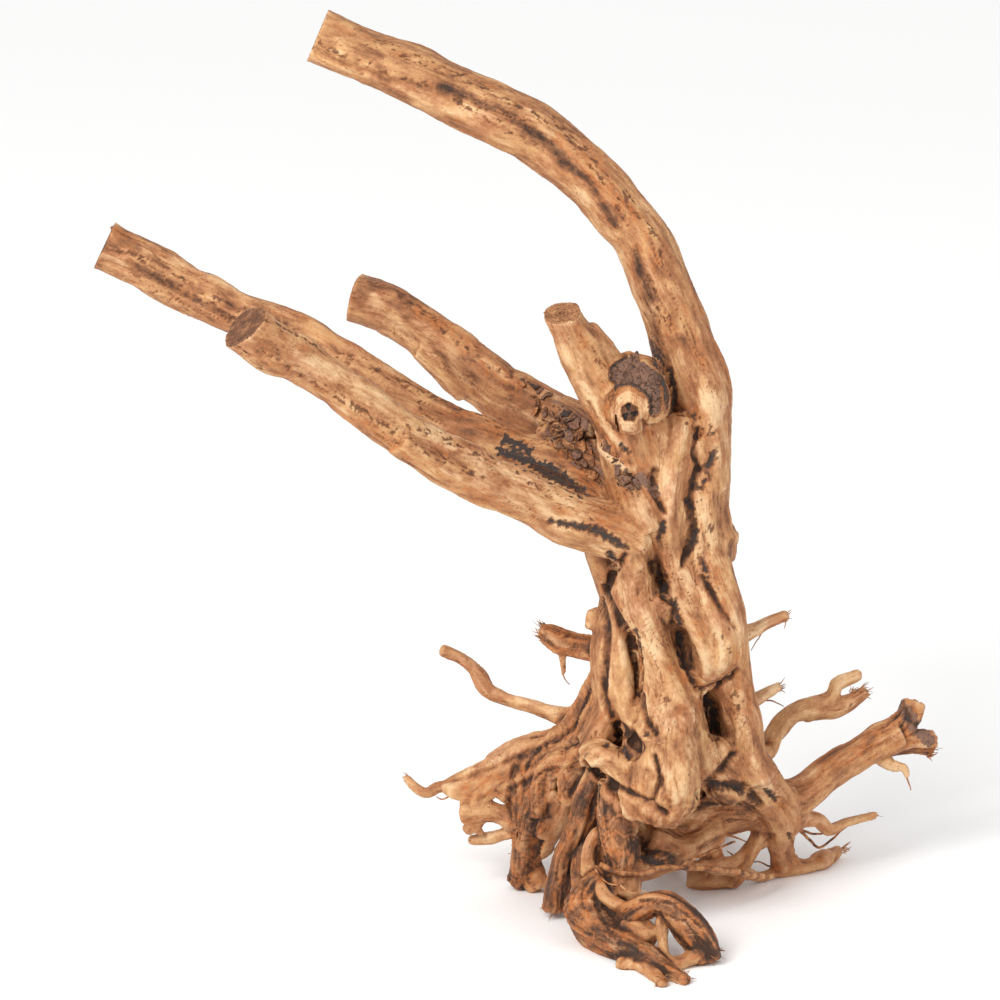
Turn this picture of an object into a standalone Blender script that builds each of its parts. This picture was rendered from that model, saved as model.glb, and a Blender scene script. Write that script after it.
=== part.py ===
"""Grapevine wood: a root crown, a trunk of fused cords, four sawn limbs and a sawn stub.

The wood grew as one piece, so it is one closed solid that stands on its roots.
Lengths are in millimetres here and become metres where the mesh is made.
"""

import math

import bmesh
import bpy
from mathutils import Matrix, Vector, noise

MM = 0.001

# The wood is written down as the eye sees it from the front, looking down by VIEW_TILT.
VIEW_TILT = math.radians(19.0)
# How far the front toe reaches before the middle of the trunk.
FRONT_REACH = 115.0

# Fusing, smoothing and thinning of the thick wood.
VOXEL = 1.9
SMOOTH_FACTOR = 0.5
SMOOTH_ROUNDS = 5
BODY_TRIANGLES = 7000

# Sections of the thick wood and of the thin roots.
THICK_SIDES = 24
THICK_STEP = 4.0
THIN_SIDES = 5
THIN_STEP = 7.0
LUMP_SIZE = 26.0
LUMP_DEPTH = 0.10
# Fusing and smoothing take this much off the thick wood all round.
FUSE_LOSS = 0.7

# A limb is drawn this much past its saw cut, and then sawn.
SAW_SPARE = 14.0
SAW_BLOCK = 60.0
FLOOR_BLOCK = 700.0

WOOD_COLOUR = (0.47, 0.27, 0.13, 1.0)
WOOD_ROUGHNESS = 0.72


def seen(across, up, back, half):
    """Place a station from what the eye sees: across, up the view, and back from the trunk."""
    height = (up - (back + FRONT_REACH) * math.sin(VIEW_TILT)) / math.cos(VIEW_TILT)
    return Vector((across, back, height)), half


def placed(across, back, height, half):
    """Place a station from its true position, for the wood that the eye doesn't see."""
    return Vector((across, back, height)), half


class Strand:
    """One limb, cord or root: stations down its middle, and the form of its section."""

    def __init__(self, stations, ridges=3, ridge_depth=0.08, twist=0.02, turn=0.0, domed=False):
        self.stations = stations
        self.ridges = ridges
        self.ridge_depth = ridge_depth
        self.twist = twist
        self.turn = turn
        self.domed = domed


def strand(points, how=seen, **form):
    """Make a strand from its list of points."""
    return Strand([how(*point) for point in points], **form)


# The four limbs and the stub, from the saw cut down into the trunk.
TALL_LIMB = strand([
    (-171, 474.5, 55, 13.2), (-145, 463.5, 52, 13), (-120.5, 453.5, 48, 13.8),
    (-98.5, 442.8, 44, 15), (-80, 434, 39, 15.5), (-62.5, 425.5, 36, 15.3),
    (-46.5, 413, 32, 14.8), (-30, 397.5, 28, 14.2), (-20.5, 385.5, 25, 14.4),
    (-12, 376, 22, 14.6), (-7, 367.5, 20, 15.3), (1.2, 348.5, 16, 15), (6, 336.5, 14, 15.5),
    (10, 325.5, 12, 16), (13.5, 314, 10, 16.5), (18, 301.5, 8, 16.5), (21, 290, 6, 16),
    (21.5, 275, 4, 14), (22, 260, 2, 13), (22, 242.5, 1, 12.3), (24, 225, 0, 13),
    (23.5, 210, -1, 11.4), (26.5, 192.5, -2, 11.5), (31, 172.5, -2, 12.3), (34, 156.5, -1, 12),
    (38.5, 141.5, 0, 9.8), (42, 130, 0, 9.3), (42, 117.5, 1, 11), (46, 104.5, 3, 12)],
    ridges=2, ridge_depth=0.06, twist=0.006, turn=0.6)
FRONT_LEFT_LIMB = strand([
    (-206, 328.5, -97, 12.4), (-193, 318, -91, 12.4), (-181, 312.5, -85, 11.3),
    (-163, 300, -77, 9.8), (-151, 291.5, -72, 10.3), (-136, 280, -65, 10.8),
    (-120.5, 271, -58, 10.6), (-110.5, 265, -53, 11.2), (-95, 257, -46, 11.5),
    (-84.5, 252.5, -42, 10.9), (-72.5, 248, -37, 10.8), (-60.5, 241, -32, 11),
    (-46, 234, -28, 12.3), (-31, 229, -24, 12.5), (-17, 221, -20, 12.5), (-13, 210, -17, 10.5),
    (-12, 199, -16, 9), (-9, 186.5, -16, 9.2), (-4, 172.5, -16, 9.3), (0, 160, -17, 9.5),
    (2.5, 147.5, -19, 12), (3.5, 135, -22, 15.5), (2, 122.5, -25, 18), (1, 108.5, -28, 19.3),
    (0, 95, -30, 18.8), (-3, 83.5, -31, 13)], ridges=3, ridge_depth=0.06, twist=0.012)
FAR_LEFT_LIMB = strand([
    (-277.5, 370.2, 35, 12.2), (-261, 362.4, 33, 12.2), (-248, 355.3, 31, 12), (-235, 348, 29, 11),
    (-226, 344, 28, 11.3), (-214.5, 337.3, 26, 10.8), (-202, 332, 24, 11), (-185, 326, 21, 11.5),
    (-175, 321, 19, 11.5), (-160.5, 311, 16, 11.4), (-135.5, 295.5, 12, 11),
    (-115.5, 282.5, 9, 11), (-102, 276.5, 7, 11), (-92.5, 272.5, 5, 11.8), (-80, 266.5, 3, 12),
    (-55, 257.5, 0, 12.5), (-37, 249, -3, 12.5), (-31, 236, -5, 12), (-31, 222.5, -7, 9),
    (-28.5, 213, -7, 8.6), (-25.5, 203, -6, 7.6), (-23.5, 192.5, -6, 7), (-24, 180, -5, 8),
    (-26, 167.5, -4, 8.5), (-25, 152.5, -6, 8.5), (-24, 140, -9, 8), (-28.5, 130, -10, 7.5),
    (-34, 120, -8, 7)], ridges=3, ridge_depth=0.08, twist=0.010, turn=2.0)
MIDDLE_LIMB = strand([
    (-153, 345, 72, 11.4), (-141.5, 341.5, 69, 11.6), (-134, 338.5, 67, 12),
    (-122, 330.5, 62, 12), (-112, 323.5, 58, 11.8), (-103, 317.5, 54, 12), (-97, 310.5, 51, 12.8),
    (-88, 304, 47, 13.5), (-80, 297, 43, 13.3), (-71.5, 292, 40, 13.4), (-62.5, 287.5, 36, 13.6),
    (-54, 282.5, 33, 14), (-42.5, 276, 28, 15), (-22.5, 257.5, 22, 14), (-10, 234, 19, 12),
    (-2.5, 207.5, 19, 12), (2.5, 182.5, 19, 12), (10, 157.5, 20, 13), (15, 132.5, 20, 14),
    (20, 112.5, 20, 13)], ridges=3, ridge_depth=0.08, twist=0.015, turn=1.0)
STUB = strand([
    (-49.2, 335.5, -30, 9.1), (-45, 327, -28, 9.3), (-42, 320.5, -26, 10),
    (-37, 309.5, -23, 10.6), (-31.5, 299, -21, 11.3), (-26, 288.5, -19, 12),
    (-20, 277.5, -18, 12.4), (-15, 257.5, -17, 12.4), (-6, 232.5, -15, 12)],
    ridges=4, ridge_depth=0.05)
LIMBS = [TALL_LIMB, FRONT_LEFT_LIMB, FAR_LEFT_LIMB, MIDDLE_LIMB, STUB]
# The saw went through these two limbs askew: the way that the cut faces.
ASKEW_CUTS = {
    FRONT_LEFT_LIMB: Vector((-0.62, -0.22, 0.75)),
    STUB: Vector((-0.12, -0.26, 0.96)),
}

# Ribs on the limbs, the lumps round the stub and the cords of the trunk.
TRUNK_STRANDS = [
    strand([(-120, 318, 52, 5), (-112, 312, 50, 6), (-105, 305, 48, 6), (-97, 297, 46, 6)]),
    strand([(-130, 271, -72, 5), (-110, 258, -62, 5.6), (-90, 248, -52, 5.8),
            (-70, 240.5, -42, 5.8), (-50, 229.5, -32, 6.4), (-30, 223, -24, 6.5)]),
    strand([(-38.5, 326, -22, 6), (-32, 316.5, -20, 8.2), (-25, 308, -17, 8.8),
            (-16, 306.5, -14, 9.6), (-8, 305, -12, 9), (-4, 300, -10, 8)]),
    strand([(-15, 292, -8, 13), (-10, 277.5, -6, 16), (-2.5, 252.5, -5, 17), (0, 227.5, 0, 16)],
           ridges=4),
    strand([(-20, 297, -22, 8), (-11.5, 300, -23, 12), (-5, 293, -22, 11), (-3, 285, -20, 7)],
           ridges=2),
    strand([(-16, 291, -28, 5), (-15.5, 286.5, -30, 7), (-15, 278, -29, 6)], ridges=2),
    strand([(-60, 276, 10, 6), (-48, 268, 6, 8), (-32, 262, 0, 9), (-18, 252, -6, 9)], ridges=4),
    strand([(-56, 285, 24, 8), (-46, 281, 16, 8), (-38, 272, 4, 8)], ridges=5, ridge_depth=0.14),
    strand([(24, 306, 12, 6), (24, 284, 14, 10), (23, 252.5, 15, 10), (22, 221, 15, 10),
            (23, 192.5, 15, 10), (29, 162.5, 15, 10), (35, 137.5, 15, 10), (42, 112.5, 18, 10)],
           domed=True),
    strand([(11, 286, -9, 6), (9, 272.5, -12, 7.5), (6, 257.5, -14, 8.5), (3.5, 242.5, -15, 8.5),
            (4, 227.5, -15, 8.5), (6.5, 212.5, -14, 7.5), (11, 197.5, -13, 7.5),
            (17.5, 182.5, -13, 8.5), (23, 167.5, -12, 9), (26, 154, -11, 8)], ridges=2,
           domed=True),
    strand([(16, 276, -7, 7), (18, 245, -10, 7.5), (19, 222, -10, 7.5), (22, 198, -9, 7)],
           domed=True),
    strand([(-4, 194, -15, 7), (4, 189, -13, 7), (12, 183, -12, 6)]),
    strand([(9, 156, -15, 7), (16, 151, -13, 7), (24, 149, -10, 6)]),
    strand([(19, 126, -14, 6), (21, 117, -15, 7.5), (24, 109, -14, 7.5), (29, 102, -10, 7.5),
            (36, 96, -3, 8)]),
    strand([(25, 124, -8, 6), (30, 113, -7, 7.5), (35, 104, -2, 8)], domed=True),
    strand([(-24, 140, 4, 8), (-20, 127, 4, 9), (-16, 112, 4, 9)]),
    strand([(-18, 200, -12, 6.5), (-20, 182.5, -11, 6), (-21, 165, -11, 6), (-19, 147.5, -13, 6.5),
            (-14, 135, -16, 7), (-8, 125, -19, 6)]),
    strand([(20, 100, 6, 9), (30, 98, 12, 9), (38, 98, 16, 8)]),
    strand([(8, 102, 10, 10), (20, 98, 14, 10), (32, 96, 16, 10)]),
    strand([(-14, 88, -6, 9), (-8, 78, -4, 9), (2, 70, 0, 8)]),
    strand([(-34, 80, 0, 7), (-30, 62, 4, 7), (-24, 52, 8, 6)]),
    strand([(-6, 214, 4, 13), (-8, 175, 6, 13), (-6, 150, 6, 14), (0, 125, 6, 14),
            (6, 105, 8, 12)], domed=True),
    strand([(-12, 290, 6, 9), (2, 292, 8, 9), (14, 288, 8, 9)], domed=True),
    strand([(30, 232, 8, 6), (33, 221.5, 8, 5.2), (31, 212, 8, 6)], domed=True),
    strand([(-26, 183, 0, 5), (-32, 183, 0, 4.5), (-36, 183.5, 0, 3.4)]),
    strand([(-37.5, 112.5, -18, 4.5), (-30, 115, -22, 5.5), (-20, 107.5, -28, 6),
            (-10, 92.5, -36, 6)]),
    strand([(-8, 19, 268, 6), (-2, 24, 240, 9), (6, 27, 190, 11), (10, 27, 150, 12),
            (8, 24, 110, 12), (0, 20, 78, 11)], how=placed, ridges=4, ridge_depth=0.12, domed=True),
    strand([(14, 4, 250, 11), (8, 2, 215, 15), (8, 5, 180, 14), (10, 6, 140, 14), (8, 5, 105, 15),
            (8, 6, 76, 13)], how=placed, domed=True),
    strand([(23, 16, 250, 4), (24, 19, 222, 6.5), (25, 20, 180, 8), (30, 19, 140, 8.5),
            (36, 17, 104, 10), (32, 16, 84, 9)], how=placed, domed=True),
    strand([(-14, 14, 225, 6), (-20, 17, 190, 8), (-20, 18, 150, 9), (-22, 17, 115, 10),
            (-22, 14, 84, 10)], how=placed, ridges=4, domed=True),
]

# Thick roots: the folded flare on the left, the front foot, the right legs, the hidden back.
ROOT_STRANDS = [
    strand([(-27, 158, 0, 7), (-33, 149, 3, 5.3), (-36.5, 141, 5, 5.3), (-40, 134, 7, 5.5),
            (-46, 128, 9, 5.4), (-53, 123, 11, 5.2), (-59, 118.5, 12, 5), (-65, 113, 14, 5),
            (-68.5, 104, 15, 5), (-69.5, 92.5, 15, 5), (-69, 80, 18, 6)]),
    strand([(-27, 148, -3, 6), (-32, 134, -2, 6), (-38, 124, 0, 5.5), (-47, 119.5, 4, 5),
            (-56, 116, 8, 5), (-61.5, 109, 10, 4.5), (-63, 96, 12, 5)]),
    strand([(-26, 128, -8, 8), (-35, 117, -8, 6), (-43, 112.5, -4, 5.5), (-51, 111, 0, 5),
            (-57, 106, 4, 5), (-59, 97, 6, 5.5), (-58.5, 86, 9, 6)]),
    strand([(-34, 116, 12, 10), (-44, 106, 12, 8), (-54, 98, 13, 7)]),
    strand([(-28, 108, 0, 11), (-40, 104, -3, 8), (-44, 98, -4, 6), (-47, 91, -4, 3.4)]),
    strand([(-56, 100, 9, 8), (-61.5, 87, 14, 8), (-65, 76, 19, 7.5), (-67, 64, 24, 6.8),
            (-68.5, 55.5, 28, 6.6), (-72, 49.5, 30, 5.5)]),
    strand([(-66, 58, 27, 5), (-62, 50, 25, 5), (-60.5, 46, 23, 4.4)]),
    strand([(-50, 98, 9, 8), (-53, 88, 12, 7), (-57, 76, 16, 5.5)]),
    strand([(-70, 103, 18, 5), (-77, 99, 21, 5), (-80, 95, 22, 4)]),
    strand([(-56, 70, 20, 4), (-66, 66, 27, 4)]),
    strand([(-28, 108, -12, 9), (-31.5, 102, -15, 7), (-36, 92.5, -17, 6.8),
            (-39, 82.5, -17, 6.5), (-43, 72.5, -16, 6.3), (-47.5, 63.5, -15, 6.2),
            (-50, 52.5, -14, 6), (-52, 43, -13, 6), (-53, 37, -13, 6)]),
    strand([(-34, 90, -10, 6), (-36, 74, -14, 5.5), (-38, 60, -22, 5.5), (-38, 48, -32, 6)]),
    strand([(-22, 165, 2, 7.5), (-34, 168, 7, 5.4), (-42.5, 170, 10, 5), (-50, 172, 10, 5.4),
            (-56, 175.5, 10, 4.4), (-59.5, 178, 10, 2.6)], ridges=4, ridge_depth=0.14),
    strand([(-62, 82, 14, 5), (-67.5, 82.5, 18, 5), (-75, 82.5, 20, 4.4), (-81.5, 85, 21, 3.8),
            (-86.5, 86.5, 22, 3.8), (-92.5, 86.5, 23.5, 3.9), (-99, 85.5, 25, 3.9)]),
    strand([(-64, 97, 14, 4.6), (-71, 95, 22, 4.6), (-76, 94.5, 24, 4)]),
    strand([(-21, 103, -24, 9), (-21.5, 90, -28, 9), (-21, 77.5, -32, 9.5), (-20, 65, -36, 9.5),
            (-21.5, 52.5, -41, 8), (-24, 45, -45, 8)], ridges=2),
    strand([(-18, 60, -36, 7), (-18, 50, -42, 7), (-19, 43, -46, 7)]),
    strand([(-26, 50, -43, 10), (-31, 44, -46, 12), (-34, 36.5, -50, 14.4), (-30, 28, -58, 11.6),
            (-19, 19.5, -72, 9), (-7, 13, -86, 7), (2, 8, -98, 4.8), (8, 5, -106, 3.6),
            (13.5, 2.6, -112, 2.6)]),
    strand([(-12, 11, -84, 6), (-19, 8.5, -88, 4), (-21, 7.5, -90, 3)], ridges=4),
    strand([(-10, 10, -88, 4), (-2, 4.5, -104, 3), (1.5, -0.5, -117, 2.6)]),
    strand([(-18, 33, -60, 6), (-10, 38.5, -66, 5.6), (-2.5, 41, -69, 5.6), (5, 39, -72, 6.2),
            (11.5, 33, -75, 6.8), (17.5, 26, -77, 7.5), (21.7, 18.8, -78.5, 7.5),
            (24, 12.3, -80, 6.8)], ridges=5, ridge_depth=0.09),
    strand([(-16, 29, -64, 6), (-8, 26, -70, 5), (-4, 23, -75, 4)]),
    strand([(46, 104, 4, 11), (54, 96, 10, 9.5), (60, 87, 17, 8.3), (61, 77.5, 26, 6.8),
            (61.5, 67.5, 38, 6), (63.5, 60, 50, 6)]),
    strand([(60, 92, 16, 7), (66, 84, 22, 6.5), (64, 78, 26, 5)]),
    strand([(62, 59, 50, 5), (70, 57.5, 51, 3.8), (77, 58, 54, 3.4), (85, 61.5, 62, 3)]),
    strand([(38, 104, 12, 9), (57, 94, 20, 7.6), (67, 93, 24, 7.8), (76, 97, 28, 8.4),
            (86, 105, 36, 8.6), (96, 112, 43, 8.6), (110, 120.5, 50, 7.8),
            (120, 125.5, 54, 7.2)], ridges=2,
           ridge_depth=0.10, twist=0.004, turn=1.2),
    strand([(114, 122, 52, 7), (125, 132, 56, 5.4), (128.5, 141, 58, 4.8)], ridges=4,
           ridge_depth=0.14),
    strand([(112, 120, 51, 7), (128, 121.5, 57, 5.4), (138.5, 120, 60, 4.8)], ridges=3,
           ridge_depth=0.16),
    strand([(42, 112, 20, 7), (54.5, 116, 31, 4.6), (57.5, 123.5, 36, 4.5), (62.5, 130.5, 40, 4.5),
            (68.5, 135.5, 43, 4.5), (77.5, 137.5, 47, 4.5), (87.5, 136.5, 51, 4.1),
            (95, 139.5, 54, 3.8), (101, 143.5, 57, 3.3), (105, 146.5, 58, 2.8)]),
    strand([(2, 86, 0, 7), (15, 85, 6, 5), (30, 90, 9, 4.5), (47.5, 88, 14, 5)]),
    strand([(-4, 76, 0, 8), (10, 76, 8, 7), (27.5, 79, 14, 6), (45, 83, 20, 5.5),
            (58, 86, 24, 6)]),
    strand([(-14, 58, -34, 5), (-2, 61, -20, 5), (15, 68, -4, 5), (30, 76, 8, 4.5)]),
    strand([(14, 82, 8, 7), (24, 70, 16, 4.5), (26, 60, 25, 4.5), (20, 54, 28, 5)]),
    strand([(15, 53, 28, 4.6), (28, 52, 29, 4.8), (39, 52.5, 31, 4)]),
    strand([(-6, 74, -14, 8), (5, 68.5, -9, 7), (12, 64, -3, 5)]),
    strand([(-22, 10, 84, 12), (-12, 14, 62, 8), (-20, 20, 45, 7)], how=placed),
    strand([(-5, 15, 82, 12), (-8, 45, 68, 9), (-14, 75, 40, 7.5), (-18, 95, 14, 6.5),
            (-20, 112, 4, 5.5)], how=placed),
    strand([(25, 15, 82, 12), (28, 45, 64, 9), (30, 75, 38, 7.5), (32, 100, 14, 6.5),
            (33, 118, 4, 5.5)], how=placed),
    strand([(8, 5, 64, 10), (8, 30, 42, 7.5), (6, 48, 18, 6.5), (4, 60, 4, 6)], how=placed),
    strand([(-26, 18, 78, 10), (-33, 45, 54, 7), (-35, 64, 28, 6), (-36, 80, 5, 5.5)],
           how=placed),
    strand([(14, 28, 146, 7), (17, 40, 153, 5.4), (18, 45, 158, 4.6)], how=placed, ridges=4,
           ridge_depth=0.15),
    strand([(-1, 30, 180, 8), (-7, 39, 187, 5.2), (-10, 43, 192, 4)], how=placed, ridges=4,
           ridge_depth=0.15),
]

# Thin roots, each started well inside the wood that it grows from.
THIN_ROOTS = [
    strand([(-30, 134, 4, 4), (-47.5, 134.5, 17, 4), (-55, 136, 24, 3.8), (-65, 139, 31, 3.5),
            (-77.5, 142.5, 38, 3.3), (-84, 145.5, 41, 3.1), (-87.5, 149, 42, 3.1),
            (-90.5, 154, 44, 3.1), (-95, 159, 47, 3), (-101, 163.5, 49, 2.8),
            (-109.5, 167, 50, 2.4)]),
    strand([(-47, 172, 10, 2.2), (-48.5, 166, 10, 1.7), (-48, 153.5, 10, 0.8)]),
    strand([(-56, 119, 9, 4), (-70, 115, 16, 4), (-80, 110, 21, 3.6), (-90, 106.5, 27, 3.5),
            (-100, 102.5, 33, 3.1), (-106.5, 99, 37, 2.6), (-111.5, 97.5, 39, 2.3),
            (-116, 95, 41, 2.1), (-121, 96.5, 43, 1.9), (-127.5, 103, 46, 1.3)]),
    strand([(-64, 112, 14, 3), (-82.5, 103.5, 22, 2.8), (-90, 100, 25, 3), (-97.5, 97.5, 28, 2.5),
            (-108, 96.5, 32, 1)]),
    strand([(-60, 120, 13, 2.6), (-70, 117, 18, 2.3), (-77.5, 108.5, 20, 2.3),
            (-83.5, 100.5, 21, 2.4), (-88.5, 93.5, 22, 2.6), (-90, 88, 22.5, 2.6)]),
    strand([(-60, 118, 13, 2.6), (-72, 114, 20, 2.4), (-74, 106, 21, 2.2), (-72, 98, 20, 2.2),
            (-67, 90, 17, 2.2)]),
    strand([(-52, 124, 11, 2.8), (-66, 120.5, 18, 2.4), (-75, 118, 24, 2.3),
            (-84, 112, 30, 1.8)]),
    strand([(-62, 78, 16, 2.8), (-70, 77, 21, 2.6), (-77.5, 75, 24, 2.3), (-85, 72, 27, 2),
            (-95, 71, 30, 1.4)]),
    strand([(-84, 99, 21, 2.3), (-91, 94, 24, 2.2), (-97.5, 94, 27, 1.8), (-104, 95, 29, 1.3)]),
    strand([(-91, 87, 23, 2), (-92, 79, 23, 1.2), (-87, 73, 22, 0.9)]),
    strand([(-89, 86, 22.5, 2.4), (-93, 79, 24, 2.2), (-97, 75.5, 25, 1.9)]),
    strand([(-26, 77, -30, 3), (-33, 73, -34, 2.7), (-36, 67, -36, 2.7), (-36.5, 59, -38, 2.7),
            (-33, 53.5, -40, 2.7), (-28, 53, -42, 2.7), (-22, 57.5, -43, 2.6),
            (-18, 63, -40, 2.6)]),
    strand([(0, 9, -90, 3.4), (10, 11, -89, 3.3), (19, 16.5, -83, 3.4)]),
    strand([(1, 40, -70, 1.9), (1.5, 25, -75, 1.4), (2.5, 10, -89, 1.8)]),
    strand([(-30, 56, -40, 2.4), (-29, 46, -57, 2.3), (-20, 39.5, -61, 2.3),
            (-12, 36, -65, 2.3)]),
    strand([(30, 170, 4, 3.2), (44, 175.5, 10, 2.8), (54, 180.5, 14, 2.4), (64, 184.5, 17, 1.8)]),
    strand([(36, 140, 8, 3.2), (48, 142, 14, 2.8), (55, 146, 17, 2.4), (61, 149, 20, 1.7)]),
    strand([(74, 136.5, 45.5, 3.6), (86.5, 143.5, 52, 3.1), (90.5, 150, 54, 2.8),
            (101, 154.5, 57, 2.1)]),
    strand([(108, 116, 49, 1.9), (117.5, 108.5, 46, 1.4), (123.5, 107.5, 46, 1.3),
            (125.5, 102.5, 46, 1)]),
    strand([(61, 82, 22, 4.6), (70, 82.5, 28, 4), (80, 81.5, 34, 3), (86.5, 76.5, 38, 2.6),
            (95, 80, 44, 2.1), (102.5, 82, 50, 1.7), (110, 83.5, 56, 1.2)]),
    strand([(81, 60, 58, 3), (88, 63.5, 68, 2.7), (90.5, 65.5, 74, 2)]),
    strand([(60, 75, 34, 2.4), (52.5, 71.5, 28, 1.8), (45, 66.5, 24, 1.7), (37.5, 61.5, 20, 1.6),
            (29, 58, 15, 1.7)]),
    strand([(63, 60, 50, 3), (58, 55, 45, 2.3), (50, 52.5, 36, 2.2), (40, 56, 26, 2.1),
            (30, 57.5, 16, 2), (20, 59.5, 6, 2), (10, 59.5, -6, 1.9), (2.5, 59, -18, 1.9),
            (-10, 54, -30, 1.8), (-17, 55, -38, 1.8)]),
    strand([(54, 84, 20, 3.4), (47.5, 68.5, 22, 2.9), (42.5, 57.5, 24, 2.9), (36, 50, 27, 2.8)]),
    strand([(-43, 97, 0, 2), (-47, 86, 2, 1.8), (-53, 75, 12, 1.6), (-59, 66, 20, 1.5),
            (-66, 58, 27, 1.6)]),
    strand([(-12, 66, 46, 3.4), (-26, 92, 34, 2.8), (-30, 112, 22, 2.2), (-26, 126, 12, 1.6)],
           how=placed),
    strand([(30, 60, 48, 3.4), (50, 78, 38, 2.8), (58, 90, 22, 2.3), (66, 98, 14, 1.6)],
           how=placed),
    strand([(-33, 58, 34, 3.4), (-38, 80, 22, 2.4), (-36, 98, 8, 1.8)], how=placed),
    strand([(6, 20, 112, 4), (10, 48, 118, 3), (14, 66, 128, 2.4), (12, 76, 140, 1.6)],
           how=placed),
]

# Hollows between the cords: (across, up, back) of the mouth, half sizes across, along and
# deep, and how far the long axis leans to the left at its top.
HOLLOWS = [
    ((-0.5, 204, -26), (4.0, 10.5, 13), 0.55),
    ((12.5, 168.5, -22), (4.2, 11.5, 17), 0.28),
    ((27.5, 134.5, -16), (5.6, 13.5, 20), 0.20),
    ((-12.3, 165, -25), (2.8, 13.5, 12), 0.18),
    ((-14, 119, -38), (5.0, 8.0, 8), 0.0),
    ((-25, 212, -22), (5.0, 4.0, 8), 0.0),
    ((6, 305, -16), (4.0, 16, 9), 0.35),
]


def spline_point(before, start, end, after, t):
    """Catmull-Rom point between start and end."""
    return 0.5 * ((2.0 * start) + (end - before) * t
                  + (2.0 * before - 5.0 * start + 4.0 * end - after) * t * t
                  + (3.0 * start - before - 3.0 * end + after) * t ** 3)


def smooth_route(stations, step):
    """Points and half thicknesses along a smooth curve through the stations."""
    places = [place for place, _ in stations]
    halves = [half for _, half in stations]
    last = len(stations) - 1
    route = []
    for i in range(last):
        ends = [max(i - 1, 0), i, i + 1, min(i + 2, last)]
        count = max(1, round((places[i + 1] - places[i]).length / step))
        for k in range(count):
            t = k / count
            middle = spline_point(*[places[j] for j in ends], t)
            half = halves[i] + (halves[i + 1] - halves[i]) * t
            route.append((middle, half))
    route.append((places[last], halves[last]))
    return route


def frames_along(route):
    """A side and an upper direction at each point, carried along without twisting."""
    middles = [middle for middle, _ in route]
    last = len(middles) - 1
    tangents = [(middles[min(i + 1, last)] - middles[max(i - 1, 0)]).normalized()
                for i in range(last + 1)]
    side = tangents[0].orthogonal().normalized()
    frames = []
    for i, tangent in enumerate(tangents):
        if i:
            side = tangents[i - 1].rotation_difference(tangent) @ side
        side = (side - tangent * side.dot(tangent)).normalized()
        frames.append((side, tangent.cross(side)))
    return frames


def dome(distance, half):
    """How much of its thickness a domed strand has, this far from its end."""
    if distance >= half:
        return 1.0
    return math.sqrt(1.0 - (1.0 - distance / half) ** 2) * 0.85 + 0.15


def add_tube(mesh, piece, sides, step, spare=0.0):
    """Sweep a ridged, slightly lumpy section along a strand as one closed tube."""
    route = smooth_route(piece.stations, step)
    length = sum((there[0] - here[0]).length for here, there in zip(route, route[1:]))
    rings = []
    travelled = 0.0
    for i, ((middle, half), (side, upper)) in enumerate(zip(route, frames_along(route))):
        if i:
            travelled += (middle - route[i - 1][0]).length
        if piece.domed:
            half *= dome(min(travelled, length - travelled), half)
        ring = []
        for k in range(sides):
            angle = 2.0 * math.pi * k / sides
            outward = side * math.cos(angle) + upper * math.sin(angle)
            wave = math.cos(piece.ridges * angle + piece.turn + piece.twist * travelled)
            lump = noise.noise((middle + outward * half) / LUMP_SIZE)
            radius = half * (1.0 + piece.ridge_depth * wave + LUMP_DEPTH * lump) + spare
            ring.append(mesh.verts.new((middle + outward * radius) * MM))
        rings.append(ring)
    for lower, upper_ring in zip(rings, rings[1:]):
        for k in range(sides):
            n = (k + 1) % sides
            mesh.faces.new((lower[k], lower[n], upper_ring[n], upper_ring[k]))
    mesh.faces.new(list(reversed(rings[0])))
    mesh.faces.new(rings[-1])


def new_object(name, mesh):
    """Turn a bmesh into an object in the scene."""
    bmesh.ops.recalc_face_normals(mesh, faces=mesh.faces)
    data = bpy.data.meshes.new(name)
    mesh.to_mesh(data)
    mesh.free()
    thing = bpy.data.objects.new(name, data)
    bpy.context.scene.collection.objects.link(thing)
    return thing


def apply_modifiers(thing):
    """Make the modifiers of an object part of its mesh."""
    bpy.context.view_layer.update()
    shaped = thing.evaluated_get(bpy.context.evaluated_depsgraph_get())
    data = bpy.data.meshes.new_from_object(shaped)
    thing.modifiers.clear()
    old = thing.data
    thing.data = data
    bpy.data.meshes.remove(old)


def past_the_cut(limb):
    """The same strand, drawn SAW_SPARE past its first station, for the saw to take off."""
    (first, half), (second, _) = limb.stations[:2]
    spare = first + (first - second).normalized() * SAW_SPARE
    longer = [(spare, half)] + limb.stations
    return Strand(longer, limb.ridges, limb.ridge_depth, limb.twist, limb.turn, limb.domed)


def make_thick_wood():
    """Fuse the limbs, cords and thick roots, smooth them, and thin the mesh."""
    mesh = bmesh.new()
    for piece in [past_the_cut(limb) for limb in LIMBS] + TRUNK_STRANDS + ROOT_STRANDS:
        add_tube(mesh, piece, THICK_SIDES, THICK_STEP, FUSE_LOSS)
    wood = new_object("grapevine_wood", mesh)
    fuse = wood.modifiers.new("fuse", "REMESH")
    fuse.mode = "VOXEL"
    fuse.voxel_size = VOXEL * MM
    ease = wood.modifiers.new("ease", "SMOOTH")
    ease.factor = SMOOTH_FACTOR
    ease.iterations = SMOOTH_ROUNDS
    apply_modifiers(wood)
    keep_largest_body(wood)
    triangles = 2 * len(wood.data.polygons)
    thin = wood.modifiers.new("thin", "DECIMATE")
    thin.ratio = BODY_TRIANGLES / triangles
    thin.use_collapse_triangulate = True
    apply_modifiers(wood)
    return wood


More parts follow.
